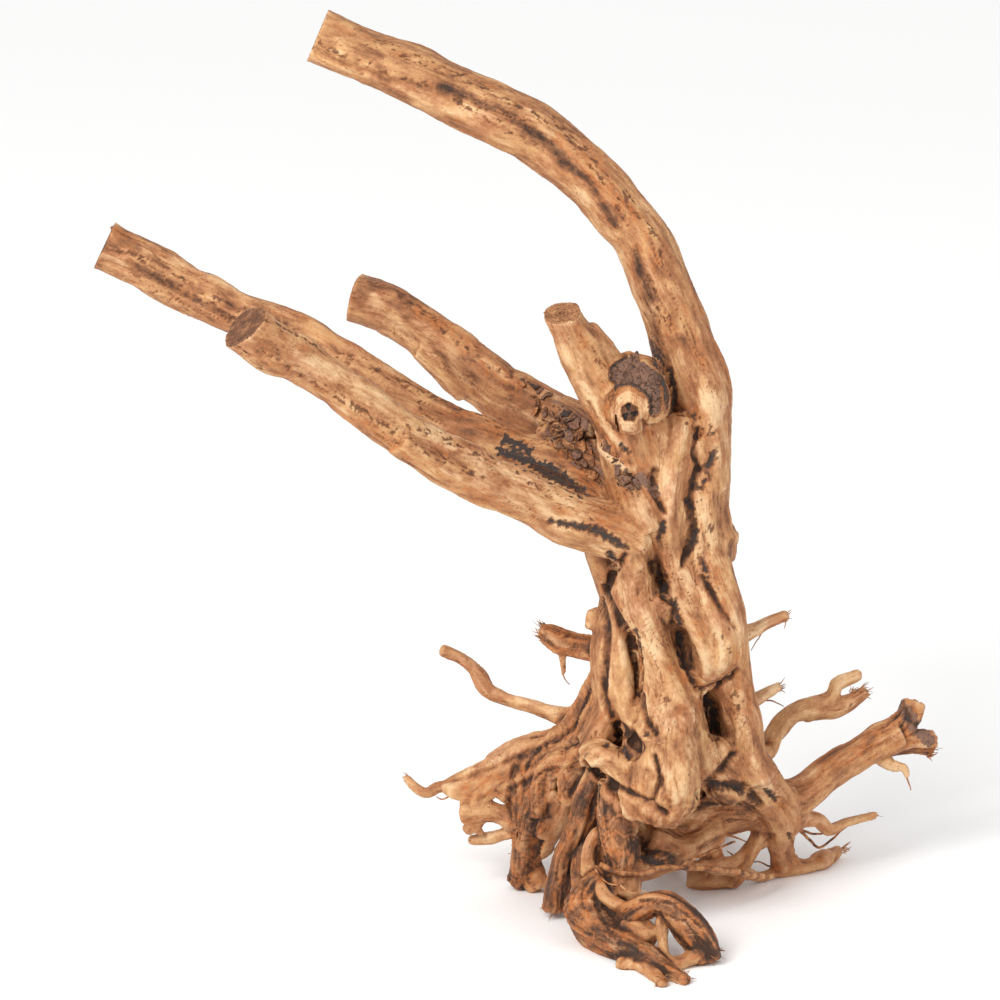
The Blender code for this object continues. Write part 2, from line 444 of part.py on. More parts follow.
def keep_largest_body(wood):
    """Drop sealed hollows and loose scraps that the fusing leaves."""
    mesh = bmesh.new()
    mesh.from_mesh(wood.data)
    bodies = []
    waiting = set(mesh.verts)
    while waiting:
        first = waiting.pop()
        body, edge = [first], [first]
        while edge:
            for link in edge.pop().link_edges:
                for vert in link.verts:
                    if vert in waiting:
                        waiting.discard(vert)
                        body.append(vert)
                        edge.append(vert)
        bodies.append(body)
    largest = max(bodies, key=len)
    loose = [vert for body in bodies if body is not largest for vert in body]
    bmesh.ops.delete(mesh, geom=loose, context="VERTS")
    mesh.to_mesh(wood.data)
    mesh.free()


def helper_collection(name):
    """A collection for what joins or cuts the wood."""
    group = bpy.data.collections.new(name)
    bpy.context.scene.collection.children.link(group)
    return group


def move_to(group, thing):
    """Put a helper in its collection, out of the picture."""
    for other in list(thing.users_collection):
        other.objects.unlink(thing)
    group.objects.link(thing)
    thing.hide_render = True
    thing.display_type = "WIRE"


def combine(wood, group, operation):
    """Join or cut the wood with all that a collection holds, and remove the helpers."""
    step = wood.modifiers.new("combine", "BOOLEAN")
    step.operation = operation
    step.operand_type = "COLLECTION"
    step.collection = group
    step.solver = "EXACT"
    apply_modifiers(wood)
    for thing in list(group.objects):
        bpy.data.objects.remove(thing)
    bpy.data.collections.remove(group)


def add_thin_roots(wood):
    """Grow the thin roots out of the thick wood."""
    group = helper_collection("thin_roots")
    for piece in THIN_ROOTS:
        mesh = bmesh.new()
        add_tube(mesh, piece, THIN_SIDES, THIN_STEP)
        move_to(group, new_object("thin_root", mesh))
    combine(wood, group, "UNION")


def saw_block(place, outward):
    """A block whose near face is the saw cut at a limb's end."""
    mesh = bmesh.new()
    bmesh.ops.create_cube(mesh, size=SAW_BLOCK * MM)
    facing = outward.to_track_quat("Z", "Y").to_matrix().to_4x4()
    middle = Matrix.Translation((place + outward * SAW_BLOCK / 2.0) * MM)
    bmesh.ops.transform(mesh, matrix=middle @ facing, verts=mesh.verts)
    return new_object("saw", mesh)


def hollow_cutter(mouth, halves, lean):
    """A long rounded cutter at the mouth of a hollow, running back into the trunk."""
    place, _ = seen(*mouth, 0.0)
    mesh = bmesh.new()
    bmesh.ops.create_uvsphere(mesh, u_segments=14, v_segments=8, radius=MM)
    across, along, deep = halves
    size = Matrix.Diagonal((across, deep, along, 1.0))
    tilt = Matrix.Rotation(-VIEW_TILT, 4, "X") @ Matrix.Rotation(-lean, 4, "Y")
    where = Matrix.Translation(place * MM)
    bmesh.ops.transform(mesh, matrix=where @ tilt @ size, verts=mesh.verts)
    return new_object("hollow", mesh)


def cut_wood(wood):
    """Saw the limbs, carve the hollows, and level the feet on the floor."""
    group = helper_collection("cutters")
    for limb in LIMBS:
        (first, _), (second, _) = limb.stations[:2]
        facing = ASKEW_CUTS.get(limb, first - second).normalized()
        move_to(group, saw_block(first, facing))
    for hollow in HOLLOWS:
        move_to(group, hollow_cutter(*hollow))
    floor = bmesh.new()
    bmesh.ops.create_cube(floor, size=FLOOR_BLOCK * MM)
    below = Matrix.Translation((0.0, 0.0, -FLOOR_BLOCK / 2.0 * MM))
    bmesh.ops.transform(floor, matrix=below, verts=floor.verts)
    move_to(group, new_object("floor", floor))
    combine(wood, group, "DIFFERENCE")


def centre_on_floor(wood):
    """Put the origin under the middle of the wood, on the floor."""
    corners = [vert.co for vert in wood.data.vertices]
    middle_x = (min(c.x for c in corners) + max(c.x for c in corners)) / 2.0
    middle_y = (min(c.y for c in corners) + max(c.y for c in corners)) / 2.0
    wood.data.transform(Matrix.Translation((-middle_x, -middle_y, 0.0)))


def wood_material():
    """Dry, cleaned vine wood."""
    material = bpy.data.materials.new("vine_wood")
    material.use_nodes = True
    shader = material.node_tree.nodes["Principled BSDF"]
    shader.inputs["Base Color"].default_value = WOOD_COLOUR
    shader.inputs["Roughness"].default_value = WOOD_ROUGHNESS
    shader.inputs["Metallic"].default_value = 0.0
    return material


def main():
    """Build the wood."""
    for old in list(bpy.data.objects):
        bpy.data.objects.remove(old)
    wood = make_thick_wood()
    add_thin_roots(wood)
    cut_wood(wood)
    centre_on_floor(wood)
    wood.data.materials.clear()
    wood.data.materials.append(wood_material())
    wood.data.shade_smooth()
    wood.data.set_sharp_from_angle(angle=math.radians(50.0))


main()
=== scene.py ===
"""Grapevine wood: the full look of one dried, cleaned and sawn piece of vine.

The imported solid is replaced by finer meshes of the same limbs, cords and roots. Their
relief and colour follow the run of each strand, so grain, cracks and pits turn with it.
Lengths are in millimetres here and become metres where a mesh is made.
"""

import itertools
import logging
import math
from dataclasses import dataclass, field
from enum import Enum
from typing import Callable, Iterable, Sequence

import bmesh
import bpy
import numpy as np
from mathutils import Matrix, Vector, noise

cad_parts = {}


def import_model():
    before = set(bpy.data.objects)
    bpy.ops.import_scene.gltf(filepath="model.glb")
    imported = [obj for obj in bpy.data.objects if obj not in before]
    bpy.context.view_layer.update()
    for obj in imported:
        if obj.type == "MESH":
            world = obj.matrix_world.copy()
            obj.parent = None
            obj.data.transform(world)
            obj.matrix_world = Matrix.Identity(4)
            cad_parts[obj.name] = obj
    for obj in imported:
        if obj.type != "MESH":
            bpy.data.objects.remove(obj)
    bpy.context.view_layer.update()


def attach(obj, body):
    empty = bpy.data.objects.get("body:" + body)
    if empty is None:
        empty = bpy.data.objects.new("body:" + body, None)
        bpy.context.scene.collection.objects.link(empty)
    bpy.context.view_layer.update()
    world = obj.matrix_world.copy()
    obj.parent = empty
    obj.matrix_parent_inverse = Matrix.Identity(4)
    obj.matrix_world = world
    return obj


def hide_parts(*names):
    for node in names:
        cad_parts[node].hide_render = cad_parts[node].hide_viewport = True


LOG = logging.getLogger("grapevine_wood")

NODE = "grapevine_wood"
BODY = "root"
SLOT = "vine_wood"
MM = 0.001

# The stations are written down as the eye sees them, looking down by VIEW_TILT.
VIEW_TILT = math.radians(19.0)
FRONT_REACH = 115.0
# From the strands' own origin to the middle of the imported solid's box.
TO_CAD = (71.682, -5.244, 0.0)

Station = tuple[Vector, float]
Points = np.ndarray
Faces = list[tuple[int, ...]]
Colour = tuple[float, float, float]


def seen(across: float, up: float, back: float, half: float) -> Station:
    """Place a station from what the eye sees.

    Args:
        across: Millimetres to the right of the trunk's middle.
        up: Millimetres up the view.
        back: Millimetres behind the middle of the trunk.
        half: Half the strand's thickness.

    Returns:
        The place and the half thickness.
    """
    height = (up - (back + FRONT_REACH) * math.sin(VIEW_TILT)) / math.cos(VIEW_TILT)
    return Vector((across, back, height)), half


def placed(across: float, back: float, height: float, half: float) -> Station:
    """Place a station from its true position, for wood that the eye doesn't see.

    Args:
        across: Millimetres to the right of the trunk's middle.
        back: Millimetres behind the middle of the trunk.
        height: Millimetres above the floor.
        half: Half the strand's thickness.

    Returns:
        The place and the half thickness.
    """
    return Vector((across, back, height)), half


@dataclass(frozen=True)
class Relief:
    """How deep each kind of relief is on a strand, and how light and warm its wood is."""

    swell: float = 0.8
    sinew: float = 0.5
    crack: float = 0.6
    pit: float = 0.5
    flake: float = 0.3
    wrinkle: float = 0.0
    tone: float = 0.0
    rust: float = 0.0
    bark: float = 0.0
    merge: float = 1.6


class Skin(Enum):
    """The surfaces that the wood has."""

    TALL = Relief(swell=0.7, sinew=0.25, crack=0.4, pit=0.5, flake=0.2, merge=2.0)
    FRONT = Relief(swell=0.7, sinew=0.25, crack=0.4, pit=0.8, flake=0.4, tone=0.04, rust=0.1,
                   merge=2.0)
    FAR = Relief(swell=0.7, sinew=0.25, crack=0.4, pit=0.8, flake=0.3, tone=-0.06, merge=1.8)
    MIDDLE = Relief(swell=0.7, sinew=0.3, crack=0.5, pit=0.7, flake=0.3, tone=-0.08, merge=1.8)
    CORD = Relief(swell=0.9, sinew=0.3, crack=0.3, pit=0.5, flake=0.2, tone=0.02, merge=2.3)
    CRUMB = Relief(swell=1.0, sinew=0.3, crack=0.6, pit=1.4, flake=0.9, tone=-0.15, bark=0.6,
                   merge=0.6)
    KNOB = Relief(swell=0.5, sinew=0.1, crack=0.1, pit=0.2, flake=0.1, merge=1.0)
    ROOT = Relief(swell=1.0, sinew=0.7, crack=0.5, pit=0.5, flake=0.2, tone=-0.20, rust=0.50,
                  merge=0.35)
    FOLDED = Relief(swell=1.0, sinew=0.7, crack=0.3, pit=0.4, flake=0.2, wrinkle=0.45,
                    tone=-0.17, rust=0.45, merge=0.5)
    RUSTY = Relief(swell=1.0, sinew=0.7, crack=0.5, pit=0.5, flake=0.4, wrinkle=0.2, tone=-0.22,
                   rust=0.80, merge=0.4)
    FINE = Relief(swell=0.3, sinew=0.2, crack=0.1, pit=0.2, flake=0.0, tone=-0.22, rust=0.45,
                  merge=0.15)


@dataclass(eq=False)
class Strand:
    """One limb, cord or root: stations down its middle, and the form of its section."""

    stations: list[Station]
    skin: Skin = Skin.CORD
    ridges: int = 3
    ridge_depth: float = 0.08
    twist: float = 0.02
    turn: float = 0.0
    domed: bool = False


def strand(points: Sequence[Sequence[float]], how: Callable[..., Station] = seen,
           **form: Skin | float | bool) -> Strand:
    """Make a strand from its list of points.

    Args:
        points: Four numbers a station, as `how` takes them.
        how: What turns four numbers into a station.
        form: The other fields of the strand.

    Returns:
        The strand.
    """
    return Strand([how(*point) for point in points], **form)


# The four limbs and the stub, from the saw cut down into the trunk.
TALL_LIMB = strand([
    (-171, 474.5, 55, 13.2), (-145, 463.5, 52, 13), (-120.5, 453.5, 48, 13.8),
    (-98.5, 442.8, 44, 15), (-80, 434, 39, 15.5), (-62.5, 425.5, 36, 15.3),
    (-46.5, 413, 32, 14.8), (-30, 397.5, 28, 14.2), (-20.5, 385.5, 25, 14.4),
    (-12, 376, 22, 14.6), (-7, 367.5, 20, 15.3), (1.2, 348.5, 16, 15), (6, 336.5, 14, 15.5),
    (10, 325.5, 12, 16), (13.5, 314, 10, 16.5), (18, 301.5, 8, 16.5), (21, 290, 6, 16),
    (21.5, 275, 4, 14), (22, 260, 2, 13), (22, 242.5, 1, 12.3), (24, 225, 0, 13),
    (23.5, 210, -1, 11.4), (26.5, 192.5, -2, 11.5), (31, 172.5, -2, 12.3), (34, 156.5, -1, 12),
    (38.5, 141.5, 0, 9.8), (42, 130, 0, 9.3), (42, 117.5, 1, 11), (46, 104.5, 3, 12)],
           skin=Skin.TALL,
    ridges=2, ridge_depth=0.06, twist=0.006, turn=0.6)
FRONT_LEFT_LIMB = strand([
    (-206, 328.5, -97, 12.4), (-193, 318, -91, 12.4), (-181, 312.5, -85, 11.3),
    (-163, 300, -77, 9.8), (-151, 291.5, -72, 10.3), (-136, 280, -65, 10.8),
    (-120.5, 271, -58, 10.6), (-110.5, 265, -53, 11.2), (-95, 257, -46, 11.5),
    (-84.5, 252.5, -42, 10.9), (-72.5, 248, -37, 10.8), (-60.5, 241, -32, 11),
    (-46, 234, -28, 12.3), (-31, 229, -24, 12.5), (-17, 221, -20, 12.5), (-13, 210, -17, 10.5),
    (-12, 199, -16, 9), (-9, 186.5, -16, 9.2), (-4, 172.5, -16, 9.3), (0, 160, -17, 9.5),
    (2.5, 147.5, -19, 12), (3.5, 135, -22, 15.5), (2, 122.5, -25, 18), (1, 108.5, -28, 19.3),
    (0, 95, -30, 18.8), (-3, 83.5, -31, 13)],
           skin=Skin.FRONT, ridges=3, ridge_depth=0.06, twist=0.012)
FAR_LEFT_LIMB = strand([
    (-277.5, 370.2, 35, 12.2), (-261, 362.4, 33, 12.2), (-248, 355.3, 31, 12), (-235, 348, 29, 11),
    (-226, 344, 28, 11.3), (-214.5, 337.3, 26, 10.8), (-202, 332, 24, 11), (-185, 326, 21, 11.5),
    (-175, 321, 19, 11.5), (-160.5, 311, 16, 11.4), (-135.5, 295.5, 12, 11),
    (-115.5, 282.5, 9, 11), (-102, 276.5, 7, 11), (-92.5, 272.5, 5, 11.8), (-80, 266.5, 3, 12),
    (-55, 257.5, 0, 12.5), (-37, 249, -3, 12.5), (-31, 236, -5, 12), (-31, 222.5, -7, 9),
    (-28.5, 213, -7, 8.6), (-25.5, 203, -6, 7.6), (-23.5, 192.5, -6, 7), (-24, 180, -5, 8),
    (-26, 167.5, -4, 8.5), (-25, 152.5, -6, 8.5), (-24, 140, -9, 8), (-28.5, 130, -10, 7.5),
    (-34, 120, -8, 7)], skin=Skin.FAR, ridges=3, ridge_depth=0.08, twist=0.010, turn=2.0)
MIDDLE_LIMB = strand([
    (-153, 345, 72, 11.4), (-141.5, 341.5, 69, 11.6), (-134, 338.5, 67, 12),
    (-122, 330.5, 62, 12), (-112, 323.5, 58, 11.8), (-103, 317.5, 54, 12), (-97, 310.5, 51, 12.8),
    (-88, 304, 47, 13.5), (-80, 297, 43, 13.3), (-71.5, 292, 40, 13.4), (-62.5, 287.5, 36, 13.6),
    (-54, 282.5, 33, 14), (-42.5, 276, 28, 15), (-22.5, 257.5, 22, 14), (-10, 234, 19, 12),
    (-2.5, 207.5, 19, 12), (2.5, 182.5, 19, 12), (10, 157.5, 20, 13), (15, 132.5, 20, 14),
    (20, 112.5, 20, 13)], skin=Skin.MIDDLE, ridges=3, ridge_depth=0.08, twist=0.015, turn=1.0)
STUB = strand([
    (-49.2, 335.5, -30, 9.1), (-45, 327, -28, 9.3), (-42, 320.5, -26, 10),
    (-37, 309.5, -23, 10.6), (-31.5, 299, -21, 11.3), (-26, 288.5, -19, 12),
    (-20, 277.5, -18, 12.4), (-15, 257.5, -17, 12.4), (-6, 232.5, -15, 12)], skin=Skin.TALL,
    ridges=4, ridge_depth=0.05)
LIMBS = [TALL_LIMB, FRONT_LEFT_LIMB, FAR_LEFT_LIMB, MIDDLE_LIMB, STUB]
# The saw went through these two limbs askew: the way that the cut faces.
ASKEW_CUTS = {
    id(FRONT_LEFT_LIMB): Vector((-0.62, -0.22, 0.75)),
    id(STUB): Vector((-0.12, -0.26, 0.96)),
}

# Ribs on the limbs, the lumps round the stub and the cords of the trunk.
TRUNK_STRANDS = [
    strand([(-120, 318, 52, 5), (-112, 312, 50, 6), (-105, 305, 48, 6), (-97, 297, 46, 6)]),
    strand([(-130, 271, -72, 5), (-110, 258, -62, 5.6), (-90, 248, -52, 5.8),
            (-70, 240.5, -42, 5.8), (-50, 229.5, -32, 6.4), (-30, 223, -24, 6.5)]),
    strand([(-38.5, 326, -22, 6), (-32, 316.5, -20, 8.2), (-25, 308, -17, 8.8),
            (-16, 306.5, -14, 9.6), (-8, 305, -12, 9), (-4, 300, -10, 8)]),
    strand([(-15, 292, -8, 13), (-10, 277.5, -6, 16), (-2.5, 252.5, -5, 17), (0, 227.5, 0, 16)],
           ridges=4),
    strand([(-20, 297, -22, 8), (-11.5, 300, -23, 12), (-5, 293, -22, 11), (-3, 285, -20, 7)],
           skin=Skin.KNOB,
           ridges=2),
    strand([(-16, 291, -28, 5), (-15.5, 286.5, -30, 7), (-15, 278, -29, 6)],
           skin=Skin.KNOB, ridges=2),
    strand([(-60, 276, 10, 6), (-48, 268, 6, 8), (-32, 262, 0, 9), (-18, 252, -6, 9)],
           skin=Skin.CRUMB, ridges=4),
    strand([(-56, 285, 24, 8), (-46, 281, 16, 8), (-38, 272, 4, 8)],
           skin=Skin.CRUMB, ridges=5, ridge_depth=0.14),
    strand([(24, 306, 12, 6), (24, 284, 14, 10), (23, 252.5, 15, 10), (22, 221, 15, 10),
            (23, 192.5, 15, 10), (29, 162.5, 15, 10), (35, 137.5, 15, 10), (42, 112.5, 18, 10)],
           domed=True),
    strand([(11, 286, -9, 6), (9, 272.5, -12, 7.5), (6, 257.5, -14, 8.5), (3.5, 242.5, -15, 8.5),
            (4, 227.5, -15, 8.5), (6.5, 212.5, -14, 7.5), (11, 197.5, -13, 7.5),
            (17.5, 182.5, -13, 8.5), (23, 167.5, -12, 9), (26, 154, -11, 8)], ridges=2,
           domed=True),
    strand([(16, 276, -7, 7), (18, 245, -10, 7.5), (19, 222, -10, 7.5), (22, 198, -9, 7)],
           domed=True),
    strand([(18, 228, -6, 7), (25, 206, -8.5, 9.5), (30, 186, -9.5, 11), (32, 168, -10.5, 11.5),
            (29, 156, -11, 8.5)], domed=True),
    strand([(0, 172, -9, 8), (5, 150, -12, 10), (12, 132, -12, 11), (12, 116, -12, 11)],
           domed=True),
    strand([(-4, 194, -15, 7), (4, 189, -13, 7), (12, 183, -12, 6)]),
    strand([(9, 156, -15, 7), (16, 151, -13, 7), (24, 149, -10, 6)]),
    strand([(19, 126, -14, 6), (21, 117, -15, 7.5), (24, 109, -14, 7.5), (29, 102, -10, 7.5),
            (36, 96, -3, 8)]),
    strand([(25, 124, -8, 6), (30, 113, -7, 7.5), (35, 104, -2, 8)], domed=True),
    strand([(-24, 140, 4, 8), (-20, 127, 4, 9), (-16, 112, 4, 9)]),
    strand([(-18, 200, -12, 6.5), (-20, 182.5, -11, 6), (-21, 165, -11, 6), (-19, 147.5, -13, 6.5),
            (-14, 135, -16, 7), (-8, 125, -19, 6)]),
    strand([(20, 100, 6, 9), (30, 98, 12, 9), (38, 98, 16, 8)]),
    strand([(8, 102, 10, 10), (20, 98, 14, 10), (32, 96, 16, 10)]),
    strand([(-14, 88, -6, 9), (-8, 78, -4, 9), (2, 70, 0, 8)]),
    strand([(-34, 80, 0, 7), (-30, 62, 4, 7), (-24, 52, 8, 6)]),
    strand([(-6, 214, 4, 13), (-8, 175, 6, 13), (-6, 150, 6, 14), (0, 125, 6, 14),
            (6, 105, 8, 12)], domed=True),
    strand([(-12, 290, 6, 9), (2, 292, 8, 9), (14, 288, 8, 9)], domed=True),
    strand([(30, 232, 8, 6), (33, 221.5, 8, 5.2), (31, 212, 8, 6)], domed=True),
    strand([(-26, 183, 0, 5), (-32, 183, 0, 4.5), (-36, 183.5, 0, 3.4)]),
    strand([(-37.5, 112.5, -18, 4.5), (-30, 115, -22, 5.5), (-20, 107.5, -28, 6),
            (-10, 92.5, -36, 6)]),
    strand([(-8, 19, 268, 6), (-2, 24, 240, 9), (6, 27, 190, 11), (10, 27, 150, 12),
            (8, 24, 110, 12), (0, 20, 78, 11)],
           how=placed, ridges=4, ridge_depth=0.12, domed=True),
    strand([(14, 4, 250, 11), (8, 2, 215, 15), (8, 5, 180, 14), (10, 6, 140, 14), (8, 5, 105, 15),
            (8, 6, 76, 13)], how=placed, domed=True),
    strand([(23, 16, 250, 4), (24, 19, 222, 6.5), (25, 20, 180, 8), (30, 19, 140, 8.5),
            (36, 17, 104, 10), (32, 16, 84, 9)], how=placed, domed=True),
    strand([(-14, 14, 225, 6), (-20, 17, 190, 8), (-20, 18, 150, 9), (-22, 17, 115, 10),
            (-22, 14, 84, 10)], how=placed, ridges=4, domed=True),
]

# Thick roots: the folded flare on the left, the front foot, the right legs, the hidden back.
ROOT_STRANDS = [
    strand([(-27, 158, 0, 7), (-33, 149, 3, 5.3), (-36.5, 141, 5, 5.3), (-40, 134, 7, 5.5),
            (-46, 128, 9, 5.4), (-53, 123, 11, 5.2), (-59, 118.5, 12, 5), (-65, 113, 14, 5),
            (-68.5, 104, 15, 5), (-69.5, 92.5, 15, 5), (-69, 80, 18, 6)], skin=Skin.FOLDED),
    strand([(-27, 148, -3, 6), (-32, 134, -2, 6), (-38, 124, 0, 5.5), (-47, 119.5, 4, 5),
            (-56, 116, 8, 5), (-61.5, 109, 10, 4.5), (-63, 96, 12, 5)], skin=Skin.FOLDED),
    strand([(-26, 128, -8, 8), (-35, 117, -8, 6), (-43, 112.5, -4, 5.5), (-51, 111, 0, 5),
            (-57, 106, 4, 5), (-59, 97, 6, 5.5), (-58.5, 86, 9, 6)], skin=Skin.FOLDED),
    strand([(-34, 116, 12, 10), (-44, 106, 12, 8), (-54, 98, 13, 7)], skin=Skin.FOLDED),
    strand([(-28, 108, 0, 11), (-40, 104, -3, 8), (-44, 98, -4, 6), (-47, 91, -4, 3.4)],
           skin=Skin.FOLDED),
    strand([(-56, 100, 9, 8), (-61.5, 87, 14, 8), (-65, 76, 19, 7.5), (-67, 64, 24, 6.8),
            (-68.5, 55.5, 28, 6.6), (-72, 49.5, 30, 5.5)], skin=Skin.FOLDED),
    strand([(-66, 58, 27, 5), (-62, 50, 25, 5), (-60.5, 46, 23, 4.4)]),
    strand([(-50, 98, 9, 8), (-53, 88, 12, 7), (-57, 76, 16, 5.5)]),
    strand([(-70, 103, 18, 5), (-77, 99, 21, 5), (-80, 95, 22, 4)]),
    strand([(-56, 70, 20, 4), (-66, 66, 27, 4)]),
    strand([(-28, 108, -12, 9), (-31.5, 102, -15, 7), (-36, 92.5, -17, 6.8),
            (-39, 82.5, -17, 6.5), (-43, 72.5, -16, 6.3), (-47.5, 63.5, -15, 6.2),
            (-50, 52.5, -14, 6), (-52, 43, -13, 6), (-53, 37, -13, 6)], skin=Skin.RUSTY),
    strand([(-34, 90, -10, 6), (-36, 74, -14, 5.5), (-38, 60, -22, 5.5), (-38, 48, -32, 6)],
           skin=Skin.RUSTY),
    strand([(-22, 165, 2, 7.5), (-34, 168, 7, 5.4), (-42.5, 170, 10, 5), (-50, 172, 10, 5.4),
            (-56, 175.5, 10, 4.4), (-59.5, 178, 10, 2.6)],
           skin=Skin.RUSTY, ridges=4, ridge_depth=0.14),
    strand([(-62, 82, 14, 5), (-67.5, 82.5, 18, 5), (-75, 82.5, 20, 4.4), (-81.5, 85, 21, 3.8),
            (-86.5, 86.5, 22, 3.8), (-92.5, 86.5, 23.5, 3.9), (-99, 85.5, 25, 3.9)]),
    strand([(-64, 97, 14, 4.6), (-71, 95, 22, 4.6), (-76, 94.5, 24, 4)]),
    strand([(-21, 103, -24, 9), (-21.5, 90, -28, 9), (-21, 77.5, -32, 9.5), (-20, 65, -36, 9.5),
            (-21.5, 52.5, -41, 8), (-24, 45, -45, 8)], skin=Skin.FOLDED, ridges=2),
    strand([(-18, 60, -36, 7), (-18, 50, -42, 7), (-19, 43, -46, 7)]),
    strand([(-26, 50, -43, 10), (-31, 44, -46, 12), (-34, 36.5, -50, 14.4), (-30, 28, -58, 11.6),
            (-19, 19.5, -72, 9), (-7, 13, -86, 7), (2, 8, -98, 4.8), (8, 5, -106, 3.6),
            (13.5, 2.6, -112, 2.6)], skin=Skin.RUSTY),
    strand([(-12, 11, -84, 6), (-19, 8.5, -88, 4), (-21, 7.5, -90, 3)], ridges=4),
    strand([(-10, 10, -88, 4), (-2, 4.5, -104, 3), (1.5, -0.5, -117, 2.6)]),
    strand([(-18, 33, -60, 6), (-10, 38.5, -66, 5.6), (-2.5, 41, -69, 5.6), (5, 39, -72, 6.2),
            (11.5, 33, -75, 6.8), (17.5, 26, -77, 7.5), (21.7, 18.8, -78.5, 7.5),
            (24, 12.3, -80, 6.8)], skin=Skin.RUSTY, ridges=5, ridge_depth=0.09),
    strand([(-16, 29, -64, 6), (-8, 26, -70, 5), (-4, 23, -75, 4)]),
    strand([(46, 104, 4, 11), (54, 96, 10, 9.5), (60, 87, 17, 8.3), (61, 77.5, 26, 6.8),
            (61.5, 67.5, 38, 6), (63.5, 60, 50, 6)]),
    strand([(60, 92, 16, 7), (66, 84, 22, 6.5), (64, 78, 26, 5)]),
    strand([(62, 59, 50, 5), (70, 57.5, 51, 3.8), (77, 58, 54, 3.4), (85, 61.5, 62, 3)]),
    strand([(38, 104, 12, 9), (57, 94, 20, 7.6), (67, 93, 24, 7.8), (76, 97, 28, 8.4),
            (86, 105, 36, 8.6), (96, 112, 43, 8.6), (110, 120.5, 50, 7.8),
            (120, 125.5, 54, 7.2)], ridges=2,
           ridge_depth=0.10, twist=0.004, turn=1.2),
    strand([(114, 122, 52, 7), (125, 132, 56, 5.4), (128.5, 141, 58, 4.8)],
           skin=Skin.RUSTY, ridges=4,
           ridge_depth=0.14),
    strand([(112, 120, 51, 7), (128, 121.5, 57, 5.4), (138.5, 120, 60, 4.8)],
           skin=Skin.RUSTY, ridges=3,
           ridge_depth=0.16),
    strand([(42, 112, 20, 7), (54.5, 116, 31, 4.6), (57.5, 123.5, 36, 4.5), (62.5, 130.5, 40, 4.5),
            (68.5, 135.5, 43, 4.5), (77.5, 137.5, 47, 4.5), (87.5, 136.5, 51, 4.1),
            (95, 139.5, 54, 3.8), (101, 143.5, 57, 3.3), (105, 146.5, 58, 2.8)]),
    strand([(2, 86, 0, 7), (15, 85, 6, 5), (30, 90, 9, 4.5), (47.5, 88, 14, 5)]),
    strand([(-4, 76, 0, 8), (10, 76, 8, 7), (27.5, 79, 14, 6), (45, 83, 20, 5.5),
            (58, 86, 24, 6)]),
    strand([(-14, 58, -34, 5), (-2, 61, -20, 5), (15, 68, -4, 5), (30, 76, 8, 4.5)]),
    strand([(14, 82, 8, 7), (24, 70, 16, 4.5), (26, 60, 25, 4.5), (20, 54, 28, 5)]),
    strand([(15, 53, 28, 4.6), (28, 52, 29, 4.8), (39, 52.5, 31, 4)]),
    strand([(-6, 74, -14, 8), (5, 68.5, -9, 7), (12, 64, -3, 5)]),
    strand([(-22, 10, 84, 12), (-12, 14, 62, 8), (-20, 20, 45, 7)], how=placed),
    strand([(-5, 15, 82, 12), (-8, 45, 68, 9), (-14, 75, 40, 7.5), (-18, 95, 14, 6.5),
            (-20, 112, 4, 5.5)], how=placed),
    strand([(25, 15, 82, 12), (28, 45, 64, 9), (30, 75, 38, 7.5), (32, 100, 14, 6.5),
            (33, 118, 4, 5.5)], how=placed),
    strand([(8, 5, 64, 10), (8, 30, 42, 7.5), (6, 48, 18, 6.5), (4, 60, 4, 6)], how=placed),
    strand([(-26, 18, 78, 10), (-33, 45, 54, 7), (-35, 64, 28, 6), (-36, 80, 5, 5.5)],
           how=placed),
    strand([(14, 28, 146, 7), (17, 40, 153, 5.4), (18, 45, 158, 4.6)], how=placed, ridges=4,
           ridge_depth=0.15),
    strand([(-1, 30, 180, 8), (-7, 39, 187, 5.2), (-10, 43, 192, 4)], how=placed, ridges=4,
           ridge_depth=0.15),
]

